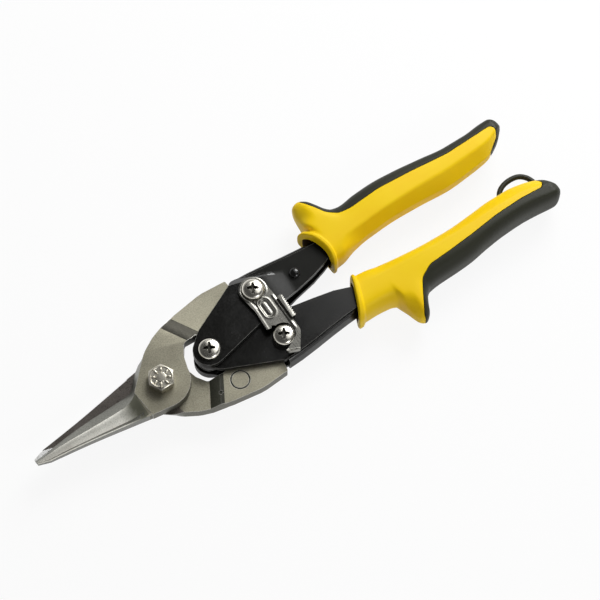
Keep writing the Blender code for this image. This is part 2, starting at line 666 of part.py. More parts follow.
# ---------------------------------------------------------------- grips
UPPER_GRIP = {
    "side": 1, "end": 187.0, "lean": -0.26, "straight": 108.0,
    "outer": [(85.6, 23.6), (88.6, 23.8), (89.8, 24.4), (90.6, 28.0), (91.8, 33.5),
              (93.8, 37.5), (95.8, 38.2), (98.0, 36.8), (99.8, 33.0), (101.2, 29.5), (103.2, 27.1), (106.5, 26.3),
              (114, 27.3), (124, 27.8), (134, 27.2), (147, 25.7), (160, 24.1), (170, 24.1), (180, 25.0), (187, 25.0)],
    "inner": [(85.6, 4.6), (92, 5.0), (100, 7.0), (110, 8.5), (125, 9.4),
              (138, 9.0), (152, 8.1), (163, 8.9), (172, 10.2), (180, 12.4), (187, 15.4)],
    "insert": [(92.6, 44), (93.4, 36, 3), (99.0, 25.6, 6), (103.5, 21.9, 5), (109, 21.1, 15), (124, 22.0, 30),
               (140, 21.0, 30), (158, 19.3, 30), (171, 19.8, 20), (181.2, 20.4, 1.5), (183.0, 18.0, 1.5),
               (182.0, 14.6, 2), (179, 4), (195, 4), (195, 44)],
}
LOWER_GRIP = {
    "side": -1, "end": 190.8, "lean": -0.43, "straight": 103.0,
    "outer": [(87.2, 22.7), (94, 22.6), (100, 23.2), (102.9, 24.6),
              (103.7, 27.5), (104.5, 32.0), (106.3, 36.4), (108.5, 37.5), (110.8, 36.0), (112.8, 32.3), (115, 28.8),
              (118, 26.5), (124, 25.7), (134, 25.4), (141, 24.9), (150, 23.4), (160, 22.2), (170, 21.8), (178, 22.3),
              (187, 23.0), (191, 22.8)],
    "inner": [(87.2, 4.5), (96.5, 4.9), (104, 6.0), (115, 7.5), (127, 8.6),
              (138, 8.9), (152, 8.0), (161.5, 7.2), (170, 7.2), (178, 8.3), (184, 10.2), (191, 13.5)],
    "insert": [(107.6, 44), (107.9, 36, 3), (112.2, 28.6, 6), (116.0, 22.6, 6), (122, 19.6, 8), (132, 19.1, 30),
               (145, 18.0, 30), (159, 16.3, 30), (172, 15.8, 20), (183, 16.3, 1.5), (184.9, 14.0, 1.5),
               (184, 10.8, 2), (182, 2), (198, 2), (198, 44)],
}
GRIP_MIDDLE = [(85, 14.2), (150, 16.4), (175, 17.2), (187, 19.5), (191, 19.0)]
GRIP_HALF_THICKNESS = [(105, 8.8), (125, 9.2), (150, 8.8), (170, 8.4), (191, 7.7)]


def grip_stations(grip):
    """Places of the sections: on the rim's bead, at every row of the outer curve, and between rows far apart."""
    rounding = grip["end"] - GRIP_END_ROUNDING
    rim = {grip["outer"][0][0] + x for x, _ in RIM_BEAD}
    rows = sorted(rim | {x for x, _ in grip["outer"] if x < rounding})
    stations = []
    for x, following in zip(rows, rows[1:]):
        pieces = max(1, round((following - x) / 5))
        stations += [x + (following - x) * k / pieces for k in range(pieces)]
    ending = [rounding + GRIP_END_ROUNDING * math.sin(math.radians(a)) for a in (0, 22, 42, 58, 70, 80)]
    return stations + [(rows[-1] + rounding) / 2] + ending


def grip_form(grip, extra=0.0):
    """The whole outer shape of a grip, made larger all round by extra."""
    exponent = 2 / GRIP_EXPONENT
    start = grip["outer"][0][0]
    rings = []
    for x in grip_stations(grip):
        past = (x - grip["end"] + GRIP_END_ROUNDING) / GRIP_END_ROUNDING
        shrink = math.sqrt(1 - past * past) if past > 0 else 1.0
        middle = smooth(GRIP_MIDDLE, x)
        added = extra + smooth(RIM_BEAD, x - start)
        outer = (smooth(grip["outer"], x) - middle) * shrink + added
        inner = (middle - smooth(grip["inner"], x)) * shrink + added
        thick = smooth(GRIP_HALF_THICKNESS, x) * shrink ** 0.8 + added
        lean = grip["lean"] * max(0.0, (grip["straight"] - x) / (grip["straight"] - start))
        section = []
        for i in range(GRIP_SECTION_POINTS):
            angle = 2 * math.pi * (i + 0.5) / GRIP_SECTION_POINTS
            c, s = math.cos(angle), math.sin(angle)
            reach = (outer if c > 0 else inner) * math.copysign(abs(c) ** exponent, c)
            y = middle + reach
            z = thick * math.copysign(abs(s) ** exponent, s)
            section.append((x + lean * (y - GRIP_LEAN_CENTRE), grip["side"] * y, z))
        rings.append(section)
    return loft("grip", rings)


def tang_pocket(side, clearance, start, end):
    """Room round the handle's channel, between two places along it."""
    stations = (start, 81, 86, 92, 97, 102, 115, TANG_END)
    along = [x for x in stations if start <= x < end] + [end]
    outline = [(x, side * (outer_edge(x) + clearance)) for x in along]
    outline += [(x, side * (inner_edge(x) - clearance)) for x in reversed(along)]
    return flat("pocket", outline, -CHANNEL_TOP - clearance, CHANNEL_TOP + clearance)


def make_grip(grip, prefix, body):
    side = grip["side"]
    region = mirrored(rounded(grip["insert"]), side)
    insert = kept(grip_form(grip), flat("region", grown(region, -GAP / 2), -15, 15))
    finish(insert, prefix + "_grip_insert", BLACK_RUBBER, body, 50)
    sleeve = cut(grip_form(grip), flat("region", grown(region, GAP / 2), -15, 15),
                 tang_pocket(side, GAP, POCKET_START, TANG_END + GAP),
                 tang_pocket(side, MOUTH_CLEARANCE, POCKET_START, grip["outer"][0][0] + MOUTH_DEPTH))
    finish(sleeve, prefix + "_grip_sleeve", YELLOW_GRIP, body, 50)


def make_hanging_loop():
    """Loop moulded to the inner side of the lower grip's end."""
    loop = tube("loop", [(x, y, LOOP_HEIGHT) for x, y in LOOP_ROUTE], LOOP_RADIUS)
    loop = cut(loop, grip_form(LOWER_GRIP, GAP))
    finish(loop, "hanging_loop", BLACK_RUBBER, LOWER_HANDLE_BODY)


make_blades()
make_fasteners()
make_handles()
make_latch()
make_spring()
make_grip(UPPER_GRIP, "upper", UPPER_HANDLE_BODY)
make_grip(LOWER_GRIP, "lower", LOWER_HANDLE_BODY)
make_hanging_loop()
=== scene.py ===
"""Looks of the aviation snips: finer shapes, surfaces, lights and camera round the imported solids.

Lengths are millimetres from the main pivot, heights are from the blades' shear plane, as in the part's
source. placed() turns them into metres in the frame's own axes.
"""
import math

import bmesh
import bpy
from mathutils import Matrix, Vector


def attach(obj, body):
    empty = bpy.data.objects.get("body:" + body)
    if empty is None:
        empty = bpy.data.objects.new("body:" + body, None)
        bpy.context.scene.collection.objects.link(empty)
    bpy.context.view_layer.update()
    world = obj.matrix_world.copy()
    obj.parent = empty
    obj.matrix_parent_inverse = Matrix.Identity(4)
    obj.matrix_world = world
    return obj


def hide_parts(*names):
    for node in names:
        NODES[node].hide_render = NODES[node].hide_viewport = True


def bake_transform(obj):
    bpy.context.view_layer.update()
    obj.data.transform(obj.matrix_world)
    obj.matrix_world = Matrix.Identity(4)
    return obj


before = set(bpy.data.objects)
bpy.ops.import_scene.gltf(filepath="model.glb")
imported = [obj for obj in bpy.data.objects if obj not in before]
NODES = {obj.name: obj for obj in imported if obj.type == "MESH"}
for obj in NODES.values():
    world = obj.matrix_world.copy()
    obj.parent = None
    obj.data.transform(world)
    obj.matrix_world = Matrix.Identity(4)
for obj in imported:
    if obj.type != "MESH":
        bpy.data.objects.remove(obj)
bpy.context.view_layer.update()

MM = 0.001
SHEAR_PLANE_HEIGHT = 10.9
GAP = 0.3
MAIN_PIVOT = (0.0, 0.0)
HANDLE_PIVOT = (23.6, 0.0)
UPPER_LINK = (53.0, 11.8)
LOWER_LINK = (53.0, -11.8)
TAIL_TOP = 2.65
BLADE_TOP = 5.5
CHANNEL_TOP = 4.95
OUTER_CHEEK_TOP = 7.25
LATCH_BOTTOM = 8.15
LATCH_TOP = 9.25
SCREW_RADIUS = 2.9
SCREW_HOLE = 3.2
PAN_RADIUS = 4.7
BOLT_RADIUS = 3.9


# ---------------------------------------------------------------- outlines
def arc(centre, radius, start, end, steps):
    """Points on an arc, angles in degrees."""
    points = []
    for i in range(steps + 1):
        angle = math.radians(start + (end - start) * i / steps)
        points.append((centre[0] + radius * math.cos(angle), centre[1] + radius * math.sin(angle)))
    return points


def circle(centre, radius, steps=64):
    """Outline of a circle, or of a regular polygon when steps is small."""
    return arc(centre, radius, 0, 360, steps)[:-1]


def rounded(corners, step=6):
    """Outline through corners (x, y) or (x, y, radius), each radius an arc between its two sides."""
    outline = []
    for i, corner in enumerate(corners):
        here = Vector(corner[:2])
        if len(corner) == 2 or corner[2] == 0:
            outline.append(tuple(here))
            continue
        back = (Vector(corners[i - 1][:2]) - here).normalized()
        ahead = (Vector(corners[(i + 1) % len(corners)][:2]) - here).normalized()
        half = back.angle(ahead) / 2
        centre = here + (back + ahead).normalized() * (corner[2] / math.sin(half))
        first = here + back * (corner[2] / math.tan(half)) - centre
        last = here + ahead * (corner[2] / math.tan(half)) - centre
        sweep = math.atan2(first.x * last.y - first.y * last.x, first.dot(last))
        steps = max(1, math.ceil(abs(sweep) / math.radians(step)))
        for k in range(steps + 1):
            outline.append(tuple(centre + Matrix.Rotation(sweep * k / steps, 2) @ first))
    return outline


def mirrored(outline, side):
    """The outline as it is for side +1, and on the other side of the tool's middle for side -1."""
    return [(point[0], point[1] * side, *point[2:]) for point in outline]


def grown(outline, distance):
    """The outline moved outwards by a distance."""
    count = len(outline)
    area = sum(outline[i - 1][0] * outline[i][1] - outline[i][0] * outline[i - 1][1] for i in range(count))
    outward = math.copysign(1, area)
    result = []
    for i in range(count):
        here = Vector(outline[i])
        along = (here - Vector(outline[i - 1])).normalized()
        onward = (Vector(outline[(i + 1) % count]) - here).normalized()
        bisector = (along + onward).normalized()
        stretch = 1 / max(0.4, bisector.dot(along))
        result.append((here.x + bisector.y * outward * distance * stretch,
                       here.y - bisector.x * outward * distance * stretch))
    return result


def smooth(table, x):
    """Value at x of a smooth curve through (x, value) rows that never overshoots them."""
    if x <= table[0][0]:
        return table[0][1]
    if x >= table[-1][0]:
        return table[-1][1]
    slopes = [(b[1] - a[1]) / (b[0] - a[0]) for a, b in zip(table, table[1:])]
    tangents = [0.0]
    for before, after in zip(slopes, slopes[1:]):
        tangents.append(0.0 if before * after <= 0 else 2 * before * after / (before + after))
    tangents.append(0.0)
    i = max(k for k in range(len(table) - 1) if table[k][0] <= x)
    width = table[i + 1][0] - table[i][0]
    t = (x - table[i][0]) / width
    return (table[i][1] * (1 + 2 * t) * (1 - t) ** 2 + tangents[i] * width * t * (1 - t) ** 2
            + table[i + 1][1] * t * t * (3 - 2 * t) - tangents[i + 1] * width * t * t * (1 - t))


def ease(low, high, x):
    """0 below low, 1 above high, smooth between."""
    t = min(1.0, max(0.0, (x - low) / (high - low)))
    return t * t * (3 - 2 * t)


def distance_to(path, x, y):
    """Distance of a point from an open path."""
    here = Vector((x, y))
    least = 1e9
    for a, b in zip(path, path[1:]):
        start, along = Vector(a), Vector(b) - Vector(a)
        t = min(1.0, max(0.0, (here - start).dot(along) / along.length_squared))
        least = min(least, (here - start - along * t).length)
    return least


# ---------------------------------------------------------------- mesh tools
def link(name, data):
    obj = bpy.data.objects.new(name, data)
    bpy.context.scene.collection.objects.link(obj)
    return obj


def from_shape(name, shape):
    """New object from a bmesh, which is used up."""
    mesh = bpy.data.meshes.new(name)
    shape.to_mesh(mesh)
    shape.free()
    return link(name, mesh)


def evaluated_mesh(obj):
    """New mesh of an object with its modifiers applied."""
    bpy.context.view_layer.update()
    return bpy.data.meshes.new_from_object(obj.evaluated_get(bpy.context.evaluated_depsgraph_get()))


def settled(obj):
    """Replace an object by its evaluated, welded mesh."""
    mesh = evaluated_mesh(obj)
    mesh.transform(obj.matrix_world)
    name = obj.name
    bpy.data.objects.remove(obj, do_unlink=True)
    shape = bmesh.new()
    shape.from_mesh(mesh)
    bmesh.ops.remove_doubles(shape, verts=shape.verts, dist=0.0005 * MM)
    bmesh.ops.recalc_face_normals(shape, faces=shape.faces)
    return from_shape(name, shape)


def flat(name, outline, bottom, top, holes=()):
    """A plate between two heights, with holes."""
    curve = bpy.data.curves.new(name, 'CURVE')
    curve.dimensions = '2D'
    curve.fill_mode = 'BOTH'
    curve.extrude = (top - bottom) / 2 * MM
    for loop in (outline, *holes):
        spline = curve.splines.new('POLY')
        spline.points.add(len(loop) - 1)
        for point, (x, y) in zip(spline.points, loop):
            point.co = (x * MM, y * MM, 0, 1)
        spline.use_cyclic_u = True
    obj = link(name, curve)
    obj.location.z = (bottom + top) / 2 * MM
    return settled(obj)


def turned(name, profile, centre, steps=72):
    """A profile of (radius, height) rows, from the axis back to the axis or closed, turned round."""
    shape = bmesh.new()
    verts = [shape.verts.new((radius * MM, 0, height * MM)) for radius, height in profile]
    for a, b in zip(verts, verts[1:]):
        shape.edges.new((a, b))
    if profile[0][0] > 0:
        shape.edges.new((verts[-1], verts[0]))
    obj = from_shape(name, shape)
    obj.location = (centre[0] * MM, centre[1] * MM, 0)
    screw = obj.modifiers.new("turn", 'SCREW')
    screw.steps = screw.render_steps = steps
    screw.use_merge_vertices = True
    screw.merge_threshold = 0.00001
    return settled(obj)


def loft(name, rings):
    """A closed skin through rings with the same number of points."""
    shape = bmesh.new()
    rows = [[shape.verts.new(Vector(point) * MM) for point in ring] for ring in rings]
    for row, following in zip(rows, rows[1:]):
        for i in range(len(row)):
            shape.faces.new((row[i - 1], row[i], following[i], following[i - 1]))
    shape.faces.new(rows[0])
    shape.faces.new(rows[-1])
    bmesh.ops.recalc_face_normals(shape, faces=shape.faces)
    return from_shape(name, shape)


def combined(target, other, operation):
    """Boolean of two objects, which are both used up."""
    step = target.modifiers.new("combine", 'BOOLEAN')
    step.operation = operation
    step.solver = 'EXACT'
    step.object = other
    result = settled(target)
    bpy.data.objects.remove(other, do_unlink=True)
    return result


def softened(obj, width, segments, angle):
    """Round the sharp edges by a width at most: the shortest edges hold it down everywhere."""
    bevel = obj.modifiers.new("edges", 'BEVEL')
    bevel.width = width * MM
    bevel.segments = segments
    bevel.limit_method = 'ANGLE'
    bevel.angle_limit = math.radians(angle)
    bevel.miter_outer = 'MITER_ARC'
    return settled(obj)


def shaded(obj, angle):
    """Smooth shading with sharp edges over an angle, large faces keeping their own direction."""
    obj.data.shade_smooth()
    obj.data.set_sharp_from_angle(angle=math.radians(angle))
    normals = obj.modifiers.new("normals", 'WEIGHTED_NORMAL')
    normals.weight = 90
    normals.keep_sharp = True
    mesh = evaluated_mesh(obj)
    obj.modifiers.clear()
    obj.data = mesh


def placed(obj, name, node, body, surface, angle):
    """Put a finished piece, made at the shear plane's height, in the place of its solid.

    A piece given no body is left unattached.
    """
    obj.name = name
    obj.data.name = name
    obj.data.transform(Matrix.Translation((0, 0, SHEAR_PLANE_HEIGHT * MM)))
    obj.data.materials.clear()
    for entry in surface if isinstance(surface, list) else [surface]:
        obj.data.materials.append(entry)
    shaded(obj, angle)
    if body:
        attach(obj, body)
    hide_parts(node)
    return obj


def middle_of(face):
    """Middle of a placed piece's face, in millimetres from the main pivot and the shear plane."""
    return face.center / MM - Vector((0, 0, SHEAR_PLANE_HEIGHT))


def cut_faces(shape, place, across):
    """Cut the faces of a shape along a plane, without parting them."""
    everything = shape.verts[:] + shape.edges[:] + shape.faces[:]
    bmesh.ops.bisect_plane(shape, geom=everything, dist=0.0001 * MM, plane_co=place, plane_no=across)


LEVEL_TOLERANCE = 0.08
FLAT_JOIN_ANGLE = math.radians(0.6)


def refined(node, width, segments, angle, level=None):
    """Copy of a solid, at the shear plane's height, its flat facets joined and its edges broken.

    Corners that are nearly at a level, over or under the shear plane, are put on it.
    """
    shape = bmesh.new()
    shape.from_mesh(NODES[node].data)
    for vert in shape.verts if level else ():
        height = vert.co.z / MM - SHEAR_PLANE_HEIGHT
        if abs(abs(height) - level) < LEVEL_TOLERANCE:
            vert.co.z = (SHEAR_PLANE_HEIGHT + math.copysign(level, height)) * MM
    bmesh.ops.remove_doubles(shape, verts=shape.verts, dist=0.001 * MM)
    bmesh.ops.dissolve_degenerate(shape, edges=shape.edges, dist=0.001 * MM)
    bmesh.ops.dissolve_limit(shape, angle_limit=FLAT_JOIN_ANGLE, verts=shape.verts, edges=shape.edges)
    bmesh.ops.recalc_face_normals(shape, faces=shape.faces)
    copy = from_shape(node + "_copy", shape)
    copy.data.transform(Matrix.Translation((0, 0, -SHEAR_PLANE_HEIGHT * MM)))
    return softened(copy, width, segments, angle)


# ---------------------------------------------------------------- surfaces
class Surface:
    """A procedural material: one Principled shader, and the nodes that vary it over the object."""

    def __init__(self, name, metallic=0.0, **sockets):
        self.material = bpy.data.materials.new(name)
        self.material.use_nodes = True
        self.tree = self.material.node_tree
        self.shader = self.tree.nodes["Principled BSDF"]
        self.shader.inputs["Metallic"].default_value = metallic
        for socket, value in sockets.items():
            self.shader.inputs[socket.replace("_", " ")].default_value = value
        self.place = self.tree.nodes.new("ShaderNodeTexCoord").outputs["Object"]
        self.normal = None

    def node(self, kind, **settings):
        made = self.tree.nodes.new(kind)
        for key, value in settings.items():
            setattr(made, key, value)
        return made

    def join(self, source, target):
        self.tree.links.new(source, target)

    def noise(self, scale, detail, roughness, stretch=(1, 1, 1), turn=0.0):
        """Noise with features of about 1/scale metres."""
        mapping = self.node("ShaderNodeMapping")
        mapping.inputs["Scale"].default_value = stretch
        mapping.inputs["Rotation"].default_value = (0, 0, turn)
        self.join(self.place, mapping.inputs["Vector"])
        noise = self.node("ShaderNodeTexNoise")
        noise.inputs["Scale"].default_value = scale
        noise.inputs["Detail"].default_value = detail
        noise.inputs["Roughness"].default_value = roughness
        self.join(mapping.outputs["Vector"], noise.inputs["Vector"])
        return noise.outputs["Fac"]

    def span(self, value, low, high, to_low=0.0, to_high=1.0):
        """Map a value from one range to another, held at the ends."""
        made = self.node("ShaderNodeMapRange")
        for socket, number in zip(("From Min", "From Max", "To Min", "To Max"), (low, high, to_low, to_high)):
            made.inputs[socket].default_value = number
        self.join(value, made.inputs["Value"])
        return made.outputs["Result"]

    def math(self, operation, a, b):
        """A sum, product or the like of two values, each a number or a node's output."""
        made = self.node("ShaderNodeMath", operation=operation)
        for socket, value in zip(made.inputs, (a, b)):
            if isinstance(value, (int, float)):
                socket.default_value = value
            else:
                self.join(value, socket)
        return made.outputs[0]

    def mix(self, factor, a, b):
        """Colour between a and b, each a colour or a node's output."""
        made = self.node("ShaderNodeMix", data_type='RGBA')
        self.join(factor, made.inputs["Factor"])
        for index, value in ((6, a), (7, b)):
            if isinstance(value, tuple):
                made.inputs[index].default_value = (*value, 1)
            else:
                self.join(value, made.inputs[index])
        return made.outputs[2]

    def bump(self, height, depth, strength):
        """Add relief of a depth in millimetres on top of what is there."""
        made = self.node("ShaderNodeBump")
        made.inputs["Strength"].default_value = strength
        made.inputs["Distance"].default_value = depth * MM
        self.join(height, made.inputs["Height"])
        if self.normal:
            self.join(self.normal, made.inputs["Normal"])
        self.normal = made.outputs["Normal"]

    def edges(self, radius):
        """Mask of the edges: where a rounded normal turns away from the true one."""
        bevel = self.node("ShaderNodeBevel", samples=6)
        bevel.inputs["Radius"].default_value = radius * MM
        true = self.node("ShaderNodeNewGeometry").outputs["Normal"]
        dot = self.node("ShaderNodeVectorMath", operation='DOT_PRODUCT')
        self.join(bevel.outputs["Normal"], dot.inputs[0])
        self.join(true, dot.inputs[1])
        return self.span(dot.outputs["Value"], 0.995, 0.86)

    def axis(self, index):
        """One coordinate of the place on the object, in metres."""
        made = self.node("ShaderNodeSeparateXYZ")
        self.join(self.place, made.inputs[0])
        return made.outputs[index]

    def done(self, colour, roughness):
        """The material, with this colour and roughness and the relief so far."""
        self.join(colour, self.shader.inputs["Base Color"])
        self.join(roughness, self.shader.inputs["Roughness"])
        if self.normal:
            self.join(self.normal, self.shader.inputs["Normal"])
        return self.material


def blade_steel(name, base, polish, lines, turn, root=None, edge=(0.80, 0.79, 0.74), metallic=1.0):
    """Ground or blasted tool steel: fine grain, soft cloudiness, faint grinding lines, and edges painted in
    the edge colour: a painted highlight where it is light, a painted line of shade where it is dark.

    root is (first x, last x, colour) of a painted shade that darkens the surface towards the jaw's root, in
    millimetres.
    """
    s = Surface(name, metallic=metallic)
    cloud = s.noise(70, 4, 0.6)
    grain = s.noise(1700, 3, 0.8)
    scratch = s.noise(900, 2, 0.6, (0.05, 1.6, 1.0), turn)
    dull = tuple(c * 0.86 for c in base)
    light = tuple(min(1, c * 1.12) for c in base)
    colour = s.mix(s.span(cloud, 0.3, 0.7), dull, light)
    colour = s.mix(s.span(grain, 0.42, 0.68, 0.0, 0.75), colour, tuple(c * 0.55 for c in base))
    spots = s.noise(420, 5, 0.75)
    colour = s.mix(s.span(spots, 0.66, 0.78, 0.0, 0.4), colour, tuple(c * 0.45 for c in base))
    # painted shade towards the root, with a wavy border
    if root:
        wavy = s.math('ADD', s.axis(0), s.span(s.noise(260, 3, 0.6), 0.2, 0.8, -0.0012, 0.0012))
        colour = s.mix(s.span(wavy, root[0] * MM, root[1] * MM), colour, root[2])
    # edges painted in the edge colour: a painted highlight where it is light, a painted line of shade where
    # it is dark
    colour = s.mix(s.math('MULTIPLY', s.edges(0.3), 0.75), colour, edge)
    rough = s.math('ADD', s.span(grain, 0.3, 0.7, polish - 0.05, polish + 0.09),
                   s.span(cloud, 0.3, 0.7, -0.03, 0.04))
    s.bump(grain, 0.018, 0.5)
    s.bump(scratch, 0.02, lines)
    return s.done(colour, rough)


def plated(name, base, polish, ripple=0.04):
    """Bright plating with slight waviness, wipe marks and a little dullness in the low places."""
    s = Surface(name, metallic=1.0)
    wave = s.noise(240, 2, 0.5)
    fine = s.noise(1800, 3, 0.6)
    wipe = s.noise(700, 3, 0.65, (1.0, 0.12, 1.0), 0.6)
    colour = s.mix(s.span(wave, 0.35, 0.7), base, tuple(c * 0.88 for c in base))
    colour = s.mix(s.span(fine, 0.62, 0.8, 0.0, 0.2), colour, tuple(c * 0.6 for c in base))
    rough = s.math('ADD', s.span(wipe, 0.3, 0.7, polish - 0.04, polish + 0.06),
                   s.span(fine, 0.4, 0.8, 0.0, 0.05))
    s.bump(wave, ripple, 0.3)
    s.bump(fine, 0.003, 0.4)
    return s.done(colour, rough)


def black_paint(name, base, polish, gleam=0.5):
    """Semi-gloss black coating: orange peel, faint dust, and edges painted lighter, partly as rubbed wear and
    partly as a painted highlight.
    """
    s = Surface(name, Specular_IOR_Level=gleam)
    peel = s.noise(1400, 2, 0.5)
    cloud = s.noise(90, 4, 0.6)
    dust = s.noise(3200, 3, 0.8)
    colour = s.mix(s.span(cloud, 0.3, 0.7), base, tuple(c * 1.4 for c in base))
    colour = s.mix(s.span(dust, 0.60, 0.80, 0.0, 0.2), colour, (0.04, 0.04, 0.034))
    # edges painted lighter: part rubbed wear, part painted highlight
    edge_wear_and_highlight = s.math('MULTIPLY', s.edges(0.4), s.span(s.noise(500, 4, 0.7), 0.35, 0.65, 0.35, 1.0))
    colour = s.mix(edge_wear_and_highlight, colour, (0.26, 0.26, 0.24))
    rough = s.math('ADD', s.span(peel, 0.3, 0.7, polish - 0.04, polish + 0.05),
                   s.span(cloud, 0.3, 0.7, -0.03, 0.05))
    s.bump(peel, 0.008, 0.5)
    s.bump(dust, 0.003, 0.4)
    return s.done(colour, rough)


def grip_plastic(name, base, shade, polish, grain_depth, dusty, gleam):
    """Moulded grip: spark-textured skin, slight colour drift, a little dust in the texture."""
    s = Surface(name, Specular_IOR_Level=gleam)
    skin = s.noise(2400, 3, 0.7)
    cloud = s.noise(45, 4, 0.55)
    colour = s.mix(s.span(cloud, 0.3, 0.7), base, shade)
    colour = s.mix(s.span(skin, 0.58, 0.82, 0.0, 0.30), colour, dusty)
    rough = s.math('ADD', s.span(skin, 0.3, 0.7, polish - 0.06, polish + 0.08),
                   s.span(cloud, 0.3, 0.7, -0.03, 0.04))
    s.bump(s.noise(160, 2, 0.4), 0.05, 0.35)
    s.bump(skin, grain_depth, 0.6)
    return s.done(colour, rough)


# dark edge colour of the jaws' ground faces: a painted line of shade along their edges
JAW_EDGE_PAINTED_SHADE = (0.09, 0.09, 0.07)
# painted shade that darkens each jaw's hollow towards its root, next to the pivot plate
HOLLOW_ROOT_SHADE = (-22.5, -15.5, (0.16, 0.16, 0.12))
BLADE = blade_steel("blade_satin_steel", (0.37, 0.35, 0.27), 0.44, 0.25, 0.5)
# the blades' side walls, painted darker as shade
BLADE_WALL_SHADE = blade_steel("blade_wall_painted_shade", (0.13, 0.127, 0.103), 0.40, 0.25, 0.5)
JAW_HOLLOW = blade_steel("jaw_ground_hollow", (0.95, 0.92, 0.82), 0.36, 0.3, 0.1, HOLLOW_ROOT_SHADE,
                         JAW_EDGE_PAINTED_SHADE, 0.45)
JAW_BEVEL = blade_steel("jaw_ground_bevel", (0.29, 0.29, 0.26), 0.38, 0.4, 0.1, None, JAW_EDGE_PAINTED_SHADE)
# the jaws' side faces, painted darker as shade
JAW_SIDE_SHADE = blade_steel("jaw_side_satin_painted_shade", (0.22, 0.22, 0.20), 0.38, 0.5, 0.1, None, JAW_EDGE_PAINTED_SHADE)
JAW_FACE = blade_steel("jaw_lapped_face", (0.30, 0.27, 0.245), 0.30, 0.3, 0.1)
JAW_TIP = blade_steel("jaw_tip_bright", (0.97, 0.97, 0.93), 0.60, 0.3, 0.1)
# the forging steps' slopes, painted dark as shade; the lower blade's less dark
STEP_SHADE = blade_steel("step_slope_painted_shade", (0.050, 0.048, 0.040), 0.42, 0.3, 0.5)
STEP_SHADE_LOW = blade_steel("step_slope_painted_shade_low", (0.17, 0.175, 0.14), 0.42, 0.3, 0.5)
# steel painted dark as shade: on the lower blade a band of the flat beyond its step, the badge's groove and
# the dimple, and the narrow strips along the jaws' ridges
PAINTED_SHADE_STEEL = blade_steel("groove_dark", (0.06, 0.06, 0.05), 0.5, 0.3, 0.5)
PLATED = plated("bright_plating", (0.86, 0.83, 0.74), 0.22)
RECESS_DARK = plated("recess_shadowed_plating", (0.13, 0.125, 0.11), 0.30)
LATCH_PLATE = plated("latch_satin_plating", (0.27, 0.265, 0.24), 0.26, 0.01)
BOLT_PLATE = plated("bolt_satin_plating", (0.66, 0.63, 0.54), 0.30)
SPRING_STEEL = plated("spring_wire", (0.34, 0.34, 0.33), 0.30)
BLACK = black_paint("black_coating", (0.0028, 0.0028, 0.0022), 0.20)
BLACK_MATT = black_paint("black_coating_bend", (0.0060, 0.0062, 0.0050), 0.34, 0.12)
RIVET_BLACK = black_paint("rivet_gloss_black", (0.0045, 0.0045, 0.0040), 0.14)
YELLOW = grip_plastic("yellow_grip_plastic", (0.83, 0.580, 0.004), (0.81, 0.520, 0.003), 0.42, 0.012,
                      (0.88, 0.64, 0.02), 0.15)
GRIP_INSIDE = grip_plastic("grip_inside_shadow", (0.10, 0.050, 0.004), (0.08, 0.040, 0.003), 0.6, 0.012,
                           (0.12, 0.06, 0.01), 0.1)
RUBBER = grip_plastic("black_soft_rubber", (0.013, 0.014, 0.006), (0.018, 0.019, 0.009), 0.5, 0.02,
                      (0.045, 0.047, 0.028), 0.28)


# ---------------------------------------------------------------- blades and handles
BLADE_SURFACES = {
    "face": BLADE, "hollow": JAW_HOLLOW, "bevel": JAW_BEVEL, "side": JAW_SIDE_SHADE, "lapped": JAW_FACE,
    "step": STEP_SHADE, "groove": PAINTED_SHADE_STEEL, "tip": JAW_TIP, "wall": BLADE_WALL_SHADE, "low_step": STEP_SHADE_LOW,
}
BLADE_EDGE = 0.18
STEP_DIRECTION = Vector((math.cos(math.radians(30)), math.sin(math.radians(30)), 0))
STEP_START, STEP_END = 19, 28
# a band of the lower blade's flat beyond its step, painted dark as shade
BAND_START, BAND_END = 23.4, 25.6
BADGE, BADGE_REACH = (27.9, -16.7), 5.0
DIMPLE, DIMPLE_REACH = (18.1, -17.0), 1.0
BEVEL_START = 2.2
HOLLOW_START = -12.4
SIDE_START = -12.6
TIP_START = -40
TIP_LINE = ((-52.7, 2.1), (-57.6, 3.5))
FLAT = 0.95
RIDGE_SPAN = (-57, -14)
RIDGE_WIDTH = 0.32


def blade_face_kind(side, centre, normal):
    """Material of a blade's face, some of them painted shade. side is +1 for the upper blade, -1 for the
    lower one turned over.
    """
    x, y, z = centre.x, centre.y * side, centre.z * side
    n = Vector((normal.x, normal.y * side, normal.z * side))
    along = x * STEP_DIRECTION.x + y * STEP_DIRECTION.y
    sloping = 0.3 < abs(n.z) < 0.98 and abs(n.dot(STEP_DIRECTION)) > 0.15
    # the slope of each forging step is painted dark as shade
    if STEP_START < along < STEP_END and sloping:
        return "step" if side > 0 else "low_step"
    sunk = z > -TAIL_TOP + 0.1
    in_band = BAND_START < along < BAND_END and n.z < -FLAT and z < -TAIL_TOP + 0.2
    in_badge = sunk and n.z < -0.9 and math.dist((x, centre.y), BADGE) < BADGE_REACH
    in_dimple = sunk and math.dist((x, centre.y), DIMPLE) < DIMPLE_REACH
    # on the lower blade, a band of the flat beyond the step, the badge's groove and the dimple are painted
    # dark as shade
    if side < 0 and (in_band or in_badge or in_dimple):
        return "groove"
    if n.z < -FLAT and abs(z) < 0.4 and x < 0:
        (ax, ay), (bx, by) = TIP_LINE
        beyond = (bx - ax) * (centre.y - ay) - (by - ay) * (x - ax)
        return "tip" if side < 0 and x < TIP_START and beyond > 0 else "lapped"
    if x < BEVEL_START and n.y > 0.3 and 0.2 < n.z < 0.93:
        return "bevel"
    if x < HOLLOW_START and n.z > 0.35:
        return "hollow"
    if x < SIDE_START and abs(n.z) < 0.35:
        return "side"
    return "wall" if abs(n.z) < 0.5 else "face"


